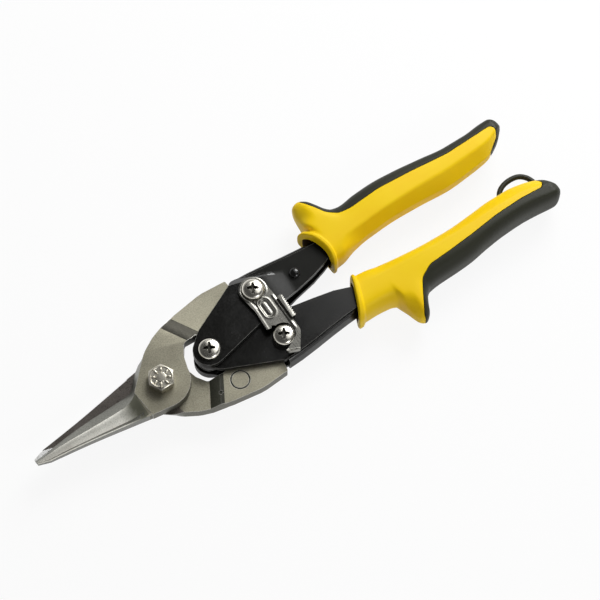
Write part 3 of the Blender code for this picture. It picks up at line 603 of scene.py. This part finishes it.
def on_ridge(mesh, face):
    """Whether a face is one of the narrow strips along a jaw's ridges."""
    longest = max((mesh.vertices[a].co - mesh.vertices[b].co).length for a, b in face.edge_keys)
    return RIDGE_SPAN[0] < middle_of(face).x < RIDGE_SPAN[1] and face.area / longest < RIDGE_WIDTH * MM


def split_at_marks(blade):
    """Cut the lower blade's faces where its bright tip starts and where its band of painted shade ends."""
    shape = bmesh.new()
    shape.from_mesh(blade.data)
    start, end = (Vector((*point, 0)) * MM for point in TIP_LINE)
    onward = Vector((STEP_DIRECTION.x, -STEP_DIRECTION.y, 0))
    cut_faces(shape, start, (end - start).cross(Vector((0, 0, 1))).normalized())
    cut_faces(shape, onward * BAND_END * MM, onward)
    shape.to_mesh(blade.data)
    shape.free()


def make_blades():
    kinds = list(BLADE_SURFACES)
    for node, side in (("upper_blade", 1), ("lower_blade", -1)):
        blade = refined(node, BLADE_EDGE, 2, 28)
        if side < 0:
            split_at_marks(blade)
        placed(blade, node + "_ground", node, node, list(BLADE_SURFACES.values()), 24)
        for face in blade.data.polygons:
            kind = blade_face_kind(side, middle_of(face), face.normal)
            # narrow strips along the jaws' ridges are painted dark as a line of shade
            if kind in ("hollow", "bevel", "side") and on_ridge(blade.data, face):
                kind = "groove"
            face.material_index = kinds.index(kind)


HANDLE_EDGE = 0.4
JOGGLE_X = 57


def make_handles():
    """Black channels, duller on their bent walls and on the upper one's plate behind the joggle."""
    for node in ("upper_handle", "lower_handle"):
        handle = refined(node, HANDLE_EDGE, 3, 34, CHANNEL_TOP)
        placed(handle, node + "_channel", node, node, [BLACK, BLACK_MATT], 30)
        for face in handle.data.polygons:
            behind = node == "upper_handle" and middle_of(face).x > JOGGLE_X and face.normal.z > 0.9
            if behind or abs(face.normal.z) < 0.5:
                face.material_index = 1


# ---------------------------------------------------------------- fasteners
DOME_WIDTH_POWER = 0.94
DOME_HEIGHT_POWER = 0.72
RECESS_TURN = math.radians(-31)
HEX_RADIUS = 5.95
HEX_HEIGHT = 4.4
BUMP_COUNT, BUMP_START = 8, 14
BUMP_RING_RADIUS = 3.25
BUMP_SIZE = (1.15, 0.52, 0.62)
SCREW_END = -9.6
NUT_RADIUS = 5.4
SPACER_RADIUS = 4.9


def pan_screw(name, node, centre, bottom, head_bottom, head_top, body):
    """Domed head with a tapered cross recess, on a plain shank."""
    skirt = head_top - min(2.2, head_top - head_bottom - 0.4)

    def dome_height(angle):
        return skirt + (head_top - skirt) * math.cos(angle) ** DOME_HEIGHT_POWER

    angles = [math.radians(90 * i / 12) for i in range(13)]
    dome = [(PAN_RADIUS * math.sin(angle) ** DOME_WIDTH_POWER, dome_height(angle)) for angle in angles]
    dome[0] = (0, head_top)
    profile = dome + [(PAN_RADIUS, head_bottom + 0.25), (PAN_RADIUS - 0.25, head_bottom),
                      (SCREW_RADIUS, head_bottom), (SCREW_RADIUS, bottom + 0.3), (SCREW_RADIUS - 0.3, bottom),
                      (0, bottom)]
    screw = turned(name, profile, centre)

    def cross(arm, half, notch, height):
        points = [(half, half), (notch, arm), (-notch, arm), (-half, half), (-arm, notch), (-arm, -notch),
                  (-half, -half), (-notch, -arm), (notch, -arm), (half, -half), (arm, -notch), (arm, notch)]
        c, s = math.cos(RECESS_TURN), math.sin(RECESS_TURN)
        return [(centre[0] + u * c - v * s, centre[1] + u * s + v * c, height) for u, v in points]

    recess = loft("recess", [cross(1.15, 0.42, 0.30, head_top - 1.9), cross(2.0, 0.62, 0.42, head_top - 1.2),
                             cross(2.75, 0.85, 0.52, head_top + 0.4)])
    screw = softened(combined(screw, recess, 'DIFFERENCE'), 0.10, 2, 32)
    placed(screw, name, node, body, [PLATED, RECESS_DARK], 40)
    for face in screw.data.polygons:
        spot = face.center / MM - Vector((*centre, SHEAR_PLANE_HEIGHT))
        radius = math.hypot(spot.x, spot.y)
        if radius < 3:
            angle = math.asin((radius / PAN_RADIUS) ** (1 / DOME_WIDTH_POWER))
            face.material_index = 1 if 0.12 < dome_height(angle) - spot.z < 2.5 else 0


def rounded_hexagon(centre, radius, bottom, top, chamfer):
    prism = flat("prism", circle(centre, radius, 6), bottom, top)
    land = radius - chamfer * 1.6
    limit = turned("limit", [(0, top), (land, top), (radius, top - chamfer), (radius, bottom + chamfer),
                             (land, bottom), (0, bottom)], centre)
    return combined(prism, limit, 'INTERSECT')


def nut(name, node, centre, radius, bore, top, height, body):
    solid = rounded_hexagon(centre, radius, top - height, top, 0.5)
    solid = combined(solid, flat("bore", circle(centre, bore), top - height - 1, top + 1), 'DIFFERENCE')
    placed(softened(solid, 0.10, 2, 25), name, node, body, PLATED, 30)


def main_bolt():
    """Hexagon head: flat land, a dished ring with rounded radial bumps, and a plain middle."""
    head_bottom = BLADE_TOP + GAP
    head_top = head_bottom + HEX_HEIGHT
    end = -SHEAR_PLANE_HEIGHT
    bolt = rounded_hexagon(MAIN_PIVOT, HEX_RADIUS, head_bottom, head_top, 0.75)
    shank = turned("shank", [(0, head_bottom + 1), (BOLT_RADIUS, head_bottom + 1), (BOLT_RADIUS, end + 0.4),
                             (BOLT_RADIUS - 0.4, end), (0, end)], MAIN_PIVOT)
    bolt = combined(bolt, shank, 'UNION')
    step, floor = head_top - 0.12, head_top - 0.35
    dish = turned("dish", [(0, head_top + 1), (4.55, head_top + 1), (4.55, step), (4.3, floor), (2.2, floor),
                           (1.9, step), (0, step)], MAIN_PIVOT)
    bolt = softened(combined(bolt, dish, 'DIFFERENCE'), 0.14, 3, 24)
    for i in range(BUMP_COUNT):
        shape = bmesh.new()
        bmesh.ops.create_uvsphere(shape, u_segments=20, v_segments=12, radius=MM)
        bump = from_shape("bump", shape)
        bump.data.transform(Matrix.Rotation(math.radians(360 / BUMP_COUNT * i + BUMP_START), 4, 'Z')
                            @ Matrix.Translation((BUMP_RING_RADIUS * MM, 0, (head_top - 0.3) * MM))
                            @ Matrix.Diagonal((*BUMP_SIZE, 1)))
        bolt = combined(bolt, bump, 'UNION')
    placed(bolt, "pivot_bolt_head_and_shank", "pivot_bolt", "lower_blade", BOLT_PLATE, 40)


def washer(name, node, centre, inner, outer, bottom, top, body):
    edge = 0.12
    profile = [(outer - edge, top), (outer, top - edge), (outer, bottom + edge), (outer - edge, bottom),
               (inner + edge, bottom), (inner, bottom + edge), (inner, top - edge), (inner + edge, top)]
    placed(turned(name, profile, centre), name, node, body, PLATED, 40)


def make_fasteners():
    cheek = OUTER_CHEEK_TOP + GAP
    channel = CHANNEL_TOP + GAP
    inner_cheek = TAIL_TOP + GAP
    main_bolt()
    nut("pivot_nut_chamfered", "pivot_nut", MAIN_PIVOT, 6.6, BOLT_RADIUS + GAP, -BLADE_TOP - GAP, 4.6,
        "lower_blade")
    pan_screw("handle_pivot_pan_screw", "handle_pivot_screw", HANDLE_PIVOT, SCREW_END, cheek, 9.8,
              "lower_handle")
    nut("handle_pivot_hex_nut", "handle_pivot_nut", HANDLE_PIVOT, NUT_RADIUS, SCREW_HOLE, -cheek, 2.6,
        "lower_handle")
    washer("handle_pivot_sleeve", "handle_pivot_bush", HANDLE_PIVOT, SCREW_HOLE, 4.3, -TAIL_TOP, TAIL_TOP,
           "lower_handle")
    pan_screw("upper_link_pan_screw", "upper_link_screw", UPPER_LINK, SCREW_END, LATCH_TOP + GAP,
              LATCH_TOP + 2.8, "upper_handle")
    nut("upper_link_hex_nut", "upper_link_nut", UPPER_LINK, NUT_RADIUS, SCREW_HOLE, -cheek, 2.6,
        "upper_handle")
    washer("upper_link_spacer_top", "upper_link_washer_top", UPPER_LINK, SCREW_HOLE, SPACER_RADIUS,
           inner_cheek, CHANNEL_TOP, "upper_handle")
    washer("upper_link_spacer_bottom", "upper_link_washer_bottom", UPPER_LINK, SCREW_HOLE, SPACER_RADIUS,
           -CHANNEL_TOP, -inner_cheek, "upper_handle")
    washer("latch_spring_washer", "latch_washer", UPPER_LINK, SCREW_HOLE, 5.2, cheek,
           OUTER_CHEEK_TOP + 2 * GAP, "upper_handle")
    pan_screw("lower_link_pan_screw", "lower_link_screw", LOWER_LINK, -8.6, channel, 9.5, "lower_handle")
    nut("lower_link_hex_nut", "lower_link_nut", LOWER_LINK, NUT_RADIUS, SCREW_HOLE, -channel, 3.6,
        "lower_handle")


# ---------------------------------------------------------------- latch
LATCH_LEFT = [(47.2, 13.0), (48.2, 6.5), (48.4, 3.0), (48.0, -6.4)]
LATCH_CREASE = [(49.3, 12.5), (49.6, 8.0), (50.4, 3.0)]
LATCH_PRESS = [(53.45, 4.0), (53.45, -0.4)]
LATCH_LIP = [(49.6, -19.2), (50.3, -20.0), (54.5, -21.7)]
GRID = 0.25
FLANGE_ROOT, FLANGE_FACE, TOOTH_TIP = 59.5, 61.15, 61.6
FLANGE_SPAN = (-8.2, 3.1)
TOOTH_COUNT, TOOTH_START = 11, -7.9


def latch_relief(x, y):
    """Height of the latch over its flat sheet: seat ring, bead and crease, pressed oval, fold and end lip."""
    crown = math.hypot(x - UPPER_LINK[0], y - UPPER_LINK[1])
    bead, crease = distance_to(LATCH_LEFT, x, y), distance_to(LATCH_CREASE, x, y)
    height = 0.2 * ease(4.75, 5.2, crown) * ease(6.1, 5.7, crown) * ease(7.0, 9.0, y)
    height += 0.08 * ease(1.3, 0.8, bead) - 0.25 * ease(0.45, 0.1, crease) * ease(3.0, 4.5, y)
    oval = distance_to(LATCH_PRESS, x, y)
    height += 0.10 * ease(3.5, 2.8, oval) - 0.85 * ease(2.55, 1.7, oval) + 0.15 * ease(1.1, 0.5, oval)
    height += 0.25 * ease(57.7, 58.3, x) * ease(59.3, 58.7, x) * ease(-13.0, -11.5, y) * ease(6.0, 4.5, y)
    height += 0.8 * ease(1.1, 0.4, distance_to(LATCH_LIP, x, y))
    return height


def make_latch():
    x, y = LOWER_LINK
    notch = arc(LOWER_LINK, PAN_RADIUS + GAP, 100, -75, 24)
    body = rounded([(47.0, 12.4), (48.4, 3.0, 6), (48.0, y + 5.2, 0.6), (50.8, y + 4.9, 0.8)])
    hook = rounded([(x - 3.6, y - 7.3, 0.3), (x - 2.9, y - 8.2, 0.4), (x + 1.6, y - 10.0, 0.5),
                    (59.9, -14.0, 4), (59.9, 0)])
    crown = arc(UPPER_LINK, 6.1, -8, 174, 36)
    sheet = flat("latch", body + notch + hook + crown, LATCH_BOTTOM, LATCH_TOP,
                 [circle(UPPER_LINK, SCREW_HOLE)])
    shape = bmesh.new()
    shape.from_mesh(sheet.data)
    bpy.data.objects.remove(sheet, do_unlink=True)
    for axis, low, high in (((1, 0, 0), 46.4, 60.2), ((0, 1, 0), -22.4, 18.2)):
        for i in range(int((high - low) / GRID)):
            cut_faces(shape, Vector(axis) * (low + (i + 0.5) * GRID) * MM, axis)
    bmesh.ops.triangulate(shape, faces=[f for f in shape.faces if len(f.verts) > 4])
    for vert in shape.verts:
        if vert.co.z / MM > (LATCH_BOTTOM + LATCH_TOP) / 2:
            vert.co.z += latch_relief(vert.co.x / MM, vert.co.y / MM) * MM
    plate = softened(from_shape("latch", shape), 0.12, 2, 50)
    teeth = []
    for i in range(TOOTH_COUNT):
        low = TOOTH_START + i
        teeth += [(TOOTH_TIP, low + 0.1), (TOOTH_TIP, low + 0.45), (FLANGE_FACE, low + 0.6),
                  (FLANGE_FACE, low + 0.95)]
    start, end = FLANGE_SPAN
    outline = [(FLANGE_ROOT, start), (FLANGE_FACE, start), *teeth, (FLANGE_FACE, end), (FLANGE_ROOT, end)]
    flange = flat("flange", outline, LATCH_BOTTOM, LATCH_TOP + 1.9)
    flange = softened(flange, 0.14, 2, 30)
    latch = combined(plate, flange, 'UNION')
    placed(latch, "stamped_latch", "latch", "latch", LATCH_PLATE, 40)


# ---------------------------------------------------------------- grips
RIM_BEAD = [(0.0, 0.0), (0.3, 0.55), (0.8, 1.0), (2.0, 1.0), (2.6, 0.45), (3.1, 0.0)]
GRIP_LEAN_CENTRE = 14.0
GRIP_END_ROUNDING = 4.5
GRIP_EXPONENT = 3.0
GRIP_SECTION_POINTS = 96
FACET_START = 0.38
FACET_FADE = (92, 106)
THUMB_RISE = (24, 31)
THUMB_THINNING = 0.42
MOUTH_REACH = 5
MOUTH_DEPTH = 5.0
MOUTH_WALL = 1.6
POCKET_START = 76
TANG_END = 140.0
UPPER_GRIP = {
    "side": 1, "end": 187.0, "lean": -0.26, "straight": 108.0, "arch": 3.6,
    "thumb": (90.2, 96.5), "facet": 1.0,
    "outer": [(85.6, 23.6), (88.6, 23.8), (89.8, 24.4), (90.6, 28.0), (91.8, 33.5), (93.8, 37.5),
              (95.8, 38.2), (98.0, 36.8), (99.8, 33.0), (101.2, 29.5), (103.2, 27.1), (106.5, 26.3),
              (114, 27.3), (124, 27.8), (134, 27.2), (147, 25.7), (160, 24.1), (170, 24.1), (180, 25.0),
              (187, 25.0)],
    "inner": [(85.6, 4.6), (92, 5.0), (100, 7.0), (110, 8.5), (125, 9.4), (138, 9.0), (152, 8.1), (163, 8.9),
              (172, 10.0), (175.5, 10.9), (180.6, 13.5), (184, 15.8), (187, 17.4)],
    "insert": [(92.6, 44), (93.4, 36, 3), (99.0, 25.6, 6), (103.5, 21.9, 5), (109, 21.1, 15), (124, 22.0, 30),
               (140, 21.0, 30), (158, 19.3, 30), (171, 19.8, 20), (183.0, 20.3, 2.4), (182.4, 15.6, 2.4),
               (176.2, 11.2, 6), (171, 4), (195, 4), (195, 44)],
}
LOWER_GRIP = {
    "side": -1, "end": 190.8, "lean": -0.43, "straight": 103.0, "arch": 0.5,
    "thumb": (103.2, 109.5), "facet": 0.5,
    "outer": [(87.2, 22.7), (94, 22.6), (100, 23.2), (102.9, 24.6), (103.7, 27.5), (104.5, 32.0),
              (106.3, 36.4), (108.5, 37.5), (110.8, 36.0), (112.8, 32.3), (115, 28.8), (118, 26.5),
              (124, 25.7), (134, 25.4), (141, 24.9), (150, 23.4), (160, 22.2), (170, 21.8), (178, 22.3),
              (187, 23.0), (191, 22.8)],
    "inner": [(87.2, 4.5), (96.5, 4.9), (104, 6.0), (115, 7.5), (127, 8.6), (138, 8.9), (152, 8.0),
              (161.5, 7.2), (170, 7.2), (178, 8.3), (184, 10.2), (191, 13.5)],
    "insert": [(107.6, 44), (107.9, 36, 3), (112.2, 28.6, 6), (116.0, 22.6, 6), (122, 19.6, 8),
               (132, 19.1, 30), (145, 18.0, 30), (159, 16.3, 30), (172, 15.8, 20), (183, 16.3, 1.5),
               (184.9, 14.0, 1.5), (184, 10.8, 2), (182, 2), (198, 2), (198, 44)],
}
GRIP_MIDDLE = [(85, 14.2), (150, 16.4), (175, 17.2), (187, 19.5), (191, 19.0)]
GRIP_HALF_THICKNESS = [(105, 8.8), (125, 9.2), (150, 8.8), (170, 8.4), (191, 7.7)]


def outer_edge(x):
    """Outer edge of a handle's tang, inside the grip."""
    return smooth([(49.3, 22.2), (81, 19.2), (92, 18.6), (TANG_END, 16.8)], x)


def inner_edge(x):
    """Inner edge of a handle's tang, inside the grip."""
    return smooth([(47, -2.0), (64, 2.0), (82, 5.6), (92, 9.4), (102, 11.8), (TANG_END, 12.0)], x)


def grip_form(grip, extra=0.0, mouth=0.0):
    """The whole outer shape of a grip, in close sections, made larger all round by extra.

    With a mouth depth, only the plain core of that depth at the collar, reaching out in front of it.
    """
    exponent = 2 / GRIP_EXPONENT
    start, rounding = grip["outer"][0][0], grip["end"] - GRIP_END_ROUNDING
    stations, x = [], start
    while x < rounding - 0.6:
        stations.append(x)
        x += 0.3 if x < start + 4 else 0.5 if x < 118 else 1.2
    stations += [rounding + GRIP_END_ROUNDING * math.sin(math.radians(a)) for a in range(0, 81, 8)]
    if mouth:
        stations = [start - MOUTH_REACH + (mouth + MOUTH_REACH) * i / 20 for i in range(21)]
    rings = []
    for x in stations:
        past = (x - rounding) / GRIP_END_ROUNDING
        shrink = math.sqrt(1 - past * past) if past > 0 else 1.0
        middle = smooth(GRIP_MIDDLE, x)
        added = extra + (0 if mouth else smooth(RIM_BEAD, x - start))
        outer = (smooth(grip["outer"], x) - middle) * shrink + added
        inner = (middle - smooth(grip["inner"], x)) * shrink + added
        thick = smooth(GRIP_HALF_THICKNESS, x) * shrink ** 0.8 + added
        near = max(0.0, (grip["straight"] - x) / (grip["straight"] - start))
        slope = 1 - THUMB_THINNING * ease(grip["thumb"][1], grip["thumb"][0], x)
        section = []
        for i in range(GRIP_SECTION_POINTS):
            angle = 2 * math.pi * (i + 0.5) / GRIP_SECTION_POINTS
            c, s = math.cos(angle), math.sin(angle)
            across = math.copysign(abs(c) ** exponent, c)
            y = middle + (outer if c > 0 else inner) * across
            rise = abs(s) ** exponent
            if across < -FACET_START:
                facet = 1 - 0.72 * ((-across - FACET_START) / (1 - FACET_START)) ** 1.1
                rise += (min(rise, facet) - rise) * ease(*FACET_FADE, x) * grip["facet"]
            z = thick * math.copysign(rise, s)
            z *= 1 - (1 - slope) * ease(*THUMB_RISE, y)
            arch = grip["arch"] * max(0.0, 1 - ((y - GRIP_LEAN_CENTRE) / 11) ** 2)
            shift = near * (grip["lean"] * (y - GRIP_LEAN_CENTRE) + arch)
            section.append((x + shift, grip["side"] * y, z))
        rings.append(section)
    return loft("grip", rings)


def tang_pocket(side, clearance, start, end):
    along = [start + (end - start) * i / 24 for i in range(25)]
    outline = [(x, side * (outer_edge(x) + clearance)) for x in along]
    outline += [(x, side * (inner_edge(x) - clearance)) for x in reversed(along)]
    return flat("pocket", outline, -CHANNEL_TOP - clearance, CHANNEL_TOP + clearance)


def make_grip(grip, prefix, body):
    """Sleeve with its hollow mouth and pocket for the tang, and the soft insert along its outer side."""
    region = mirrored(rounded(grip["insert"], 5), grip["side"])
    insert = combined(grip_form(grip), flat("region", grown(region, -GAP / 2), -15, 15), 'INTERSECT')
    placed(softened(insert, 0.3, 3, 40), prefix + "_grip_soft_insert", prefix + "_grip_insert", body,
           RUBBER, 55)
    sleeve = combined(grip_form(grip), flat("region", grown(region, GAP / 2), -15, 15), 'DIFFERENCE')
    start = grip["outer"][0][0]
    for pocket in (tang_pocket(grip["side"], GAP, POCKET_START, TANG_END + GAP),
                   tang_pocket(grip["side"], 0.8, POCKET_START, start + 7)):
        sleeve = combined(sleeve, pocket, 'DIFFERENCE')
    sleeve = combined(sleeve, grip_form(grip, -MOUTH_WALL, MOUTH_DEPTH), 'DIFFERENCE')
    shape = bmesh.new()
    shape.from_mesh(sleeve.data)
    bmesh.ops.remove_doubles(shape, verts=shape.verts, dist=0.04 * MM)
    shape.to_mesh(sleeve.data)
    shape.free()
    sleeve = placed(softened(sleeve, 0.25, 3, 40), prefix + "_grip_moulded_sleeve", prefix + "_grip_sleeve",
                    body, [YELLOW, GRIP_INSIDE], 55)
    for face in sleeve.data.polygons:
        x, y, z = middle_of(face)
        outward = Vector((0, y - grip["side"] * smooth(GRIP_MIDDLE, x), z))
        lining = abs(face.normal.x) < 0.75 and face.normal.dot(outward) < 0
        end_wall = x > start + 3 and face.normal.x < -0.9 and outward.length < 8
        if x < start + 12 and (lining or end_wall):
            face.material_index = 1


# ---------------------------------------------------------------- rivet, loop and spring
def tube(name, points, radius):
    """A round wire through points, with flat ends."""
    curve = bpy.data.curves.new(name, 'CURVE')
    curve.dimensions = '3D'
    curve.bevel_depth = radius * MM
    curve.bevel_resolution = 6
    curve.use_fill_caps = True
    spline = curve.splines.new('POLY')
    spline.points.add(len(points) - 1)
    for point, place in zip(spline.points, points):
        point.co = (*(Vector(place) * MM), 1)
    return settled(link(name, curve))


def through(points, steps):
    """A smooth path through points, with steps between each two."""
    places = [Vector(p) for p in points]
    places = [2 * places[0] - places[1]] + places + [2 * places[-1] - places[-2]]
    path = []
    for a, b, c, d in zip(places, places[1:], places[2:], places[3:]):
        for k in range(steps):
            t = k / steps
            path.append(0.5 * (2 * b + (c - a) * t + (2 * a - 5 * b + 4 * c - d) * t * t
                               + (3 * b - a - 3 * c + d) * t ** 3))
    return path + [places[-2]]


def make_rivet():
    centre, base, width, rise, shank = (72.9, 10.1), CHANNEL_TOP + GAP, 2.5, 1.7, 1.5
    angles = [math.radians(a) for a in range(0, 91, 9)]
    half = [(width * math.sin(a), base + rise * math.cos(a)) for a in angles] + [(shank, base)]
    profile = half + [(radius, -height) for radius, height in reversed(half)]
    profile[0], profile[-1] = (0, base + rise), (0, -base - rise)
    placed(turned("rivet", profile, centre, 48), "spring_stop_domed_rivet", "spring_stop_rivet",
           "upper_handle", RIVET_BLACK, 40)


def make_loop():
    route = [(168.3, -9.5), (169.2, -6.0), (171.3, -3.6), (174.5, -2.2), (178.5, -1.9), (182.0, -2.8),
             (184.6, -5.4), (185.9, -9.5), (186.2, -14.0)]
    loop = tube("loop", through([(x, y, -4.0) for x, y in route], 6), 1.2)
    loop = combined(loop, grip_form(LOWER_GRIP, GAP), 'DIFFERENCE')
    placed(loop, "hanging_loop_cord", "hanging_loop", "lower_handle", RUBBER, 50)


def make_spring():
    """Torsion spring: a leg along each handle and the coil round the pivot between them, attached to no body.
    """
    turns, radius, pitch, wire = 2.5, 5.4, 1.65, 1.2
    steps = 120
    rise = pitch * turns / 2
    coil = []
    for i in range(steps + 1):
        angle = math.radians(90 + 360 * turns * i / steps)
        coil.append((HANDLE_PIVOT[0] + radius * math.cos(angle), HANDLE_PIVOT[1] + radius * math.sin(angle),
                     rise - 2 * rise * i / steps))
    upper_leg = [(77.0, 8.9, 0.6), (71.0, 7.2, 0.8), (60.0, 3.6, 1.2), (30.0, 5.1, rise)]
    lower_leg = [(30.0, -5.2, -rise), (60.5, -2.8, -1.2), (64.0, -4.4, -1.0), (77.0, -14.8, -0.6)]
    spring = placed(tube("spring", upper_leg + coil + lower_leg, wire / 2), "opening_spring_wire",
                    "opening_spring", None, SPRING_STEEL, 50)
    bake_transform(spring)


make_rivet()
make_loop()
make_spring()
make_blades()
make_handles()
make_fasteners()
make_latch()
make_grip(UPPER_GRIP, "upper", "upper_handle")
make_grip(LOWER_GRIP, "lower", "lower_handle")


# ---------------------------------------------------------------- stage, lights, camera
def background_rays(tree):
    """1 for rays that see the background itself: from the camera, off a mirror or through glass."""
    path = tree.nodes.new("ShaderNodeLightPath")
    seen = path.outputs["Is Camera Ray"]
    for ray in ("Is Glossy Ray", "Is Transmission Ray"):
        most = tree.nodes.new("ShaderNodeMath")
        most.operation = 'MAXIMUM'
        tree.links.new(seen, most.inputs[0])
        tree.links.new(path.outputs[ray], most.inputs[1])
        seen = most.outputs[0]
    return seen


def make_floor():
    """White table that keeps the object's shadow, and looks almost as white as the background."""
    shape = bmesh.new()
    bmesh.ops.create_grid(shape, x_segments=1, y_segments=1, size=3.0)
    floor = from_shape("floor", shape)
    surface = bpy.data.materials.new("white_table")
    surface.use_nodes = True
    tree = surface.node_tree
    tree.nodes.clear()
    seen = background_rays(tree)
    white = tree.nodes.new("ShaderNodeBsdfDiffuse")
    white.inputs["Color"].default_value = (0.82, 0.82, 0.82, 1)
    glow = tree.nodes.new("ShaderNodeEmission")
    glow.inputs["Color"].default_value = (1, 1, 1, 1)
    share = tree.nodes.new("ShaderNodeMath")
    share.operation = 'MULTIPLY'
    share.inputs[1].default_value = 0.90
    mix = tree.nodes.new("ShaderNodeMixShader")
    output = tree.nodes.new("ShaderNodeOutputMaterial")
    tree.links.new(seen, share.inputs[0])
    tree.links.new(share.outputs[0], mix.inputs[0])
    tree.links.new(white.outputs[0], mix.inputs[1])
    tree.links.new(glow.outputs[0], mix.inputs[2])
    # seen from below the table is clear, so that the underside of the object can be looked at
    below = tree.nodes.new("ShaderNodeNewGeometry").outputs["Backfacing"]
    clear = tree.nodes.new("ShaderNodeBsdfTransparent")
    either = tree.nodes.new("ShaderNodeMixShader")
    tree.links.new(below, either.inputs[0])
    tree.links.new(mix.outputs[0], either.inputs[1])
    tree.links.new(clear.outputs[0], either.inputs[2])
    tree.links.new(either.outputs[0], output.inputs["Surface"])
    floor.data.materials.append(surface)
    floor.location.z = -0.05 * MM


WORLD_LEVELS = [(0.0, 1.0), (0.08, 0.80), (0.30, 0.42), (0.60, 0.07), (1.0, 0.05)]


def make_world():
    """Even surroundings, white at the horizon and darker overhead for the reflections."""
    world = bpy.data.worlds.new("studio")
    bpy.context.scene.world = world
    world.use_nodes = True
    tree = world.node_tree
    direction = tree.nodes.new("ShaderNodeTexCoord")
    split = tree.nodes.new("ShaderNodeSeparateXYZ")
    tree.links.new(direction.outputs["Generated"], split.inputs[0])
    ramp = tree.nodes.new("ShaderNodeValToRGB")
    stops = ramp.color_ramp.elements
    for _ in range(len(WORLD_LEVELS) - 2):
        stops.new(0.5)
    for stop, (position, level) in zip(stops, WORLD_LEVELS):
        stop.position = position
        stop.color = (level, level, level, 1)
    tree.links.new(split.outputs["Z"], ramp.inputs[0])
    tree.links.new(ramp.outputs["Color"], tree.nodes["Background"].inputs["Color"])


CAMERA_RIGHT = Vector((0.83133, -0.55578, 0.0))
CAMERA_UP = Vector((0.51119, 0.76463, 0.39246))
CAMERA_BACK = Vector((-0.21812, -0.32626, 0.91977))
CAMERA_PLACE = Vector((-130.476, -298.276, 852.659)) * MM
CAMERA_LENS = 129.6
CAMERA_SENSOR = 36.0
AWAY = Vector((0.55578, 0.83133, 0.0))
SUBJECT = Vector((65, 0, 11)) * MM


def panel(name, size, power):
    """A level rectangular light that shines down."""
    data = bpy.data.lights.new(name, 'AREA')
    data.shape = 'RECTANGLE'
    data.size, data.size_y = size
    data.energy = power
    return link(name, data)


def softbox(name, right, away, up, distance, size, power):
    """A panel turned to the subject, towards right, away and up from it, as the camera stands."""
    direction = (CAMERA_RIGHT * right + AWAY * away + Vector((0, 0, up))).normalized()
    lamp = panel(name, size, power)
    lamp.location = SUBJECT + direction * distance
    lamp.rotation_mode = 'QUATERNION'
    lamp.rotation_quaternion = direction.to_track_quat('Z', 'Y')


def make_camera():
    data = bpy.data.cameras.new("camera")
    data.sensor_width = CAMERA_SENSOR
    data.lens = CAMERA_LENS
    data.clip_start, data.clip_end = 0.01, 20
    camera = link("camera", data)
    turn = Matrix((CAMERA_RIGHT, CAMERA_UP, CAMERA_BACK)).transposed().to_4x4()
    camera.matrix_world = Matrix.Translation(CAMERA_PLACE) @ turn
    bpy.context.scene.camera = camera


make_floor()
make_world()
softbox("key_softbox", 0.40, 0.80, 0.68, 0.9, (0.5, 0.5), 7.2)
softbox("fill_softbox", 0.70, -0.85, 0.80, 1.0, (0.35, 0.35), 2.2)
# over the grips, seen in the flats of the lower handle
panel("overhead_panel", (0.52, 0.9), 2.1).location = (0.485, 0.28, 0.62)
make_camera()
bpy.context.scene.view_settings.view_transform = 'Standard'
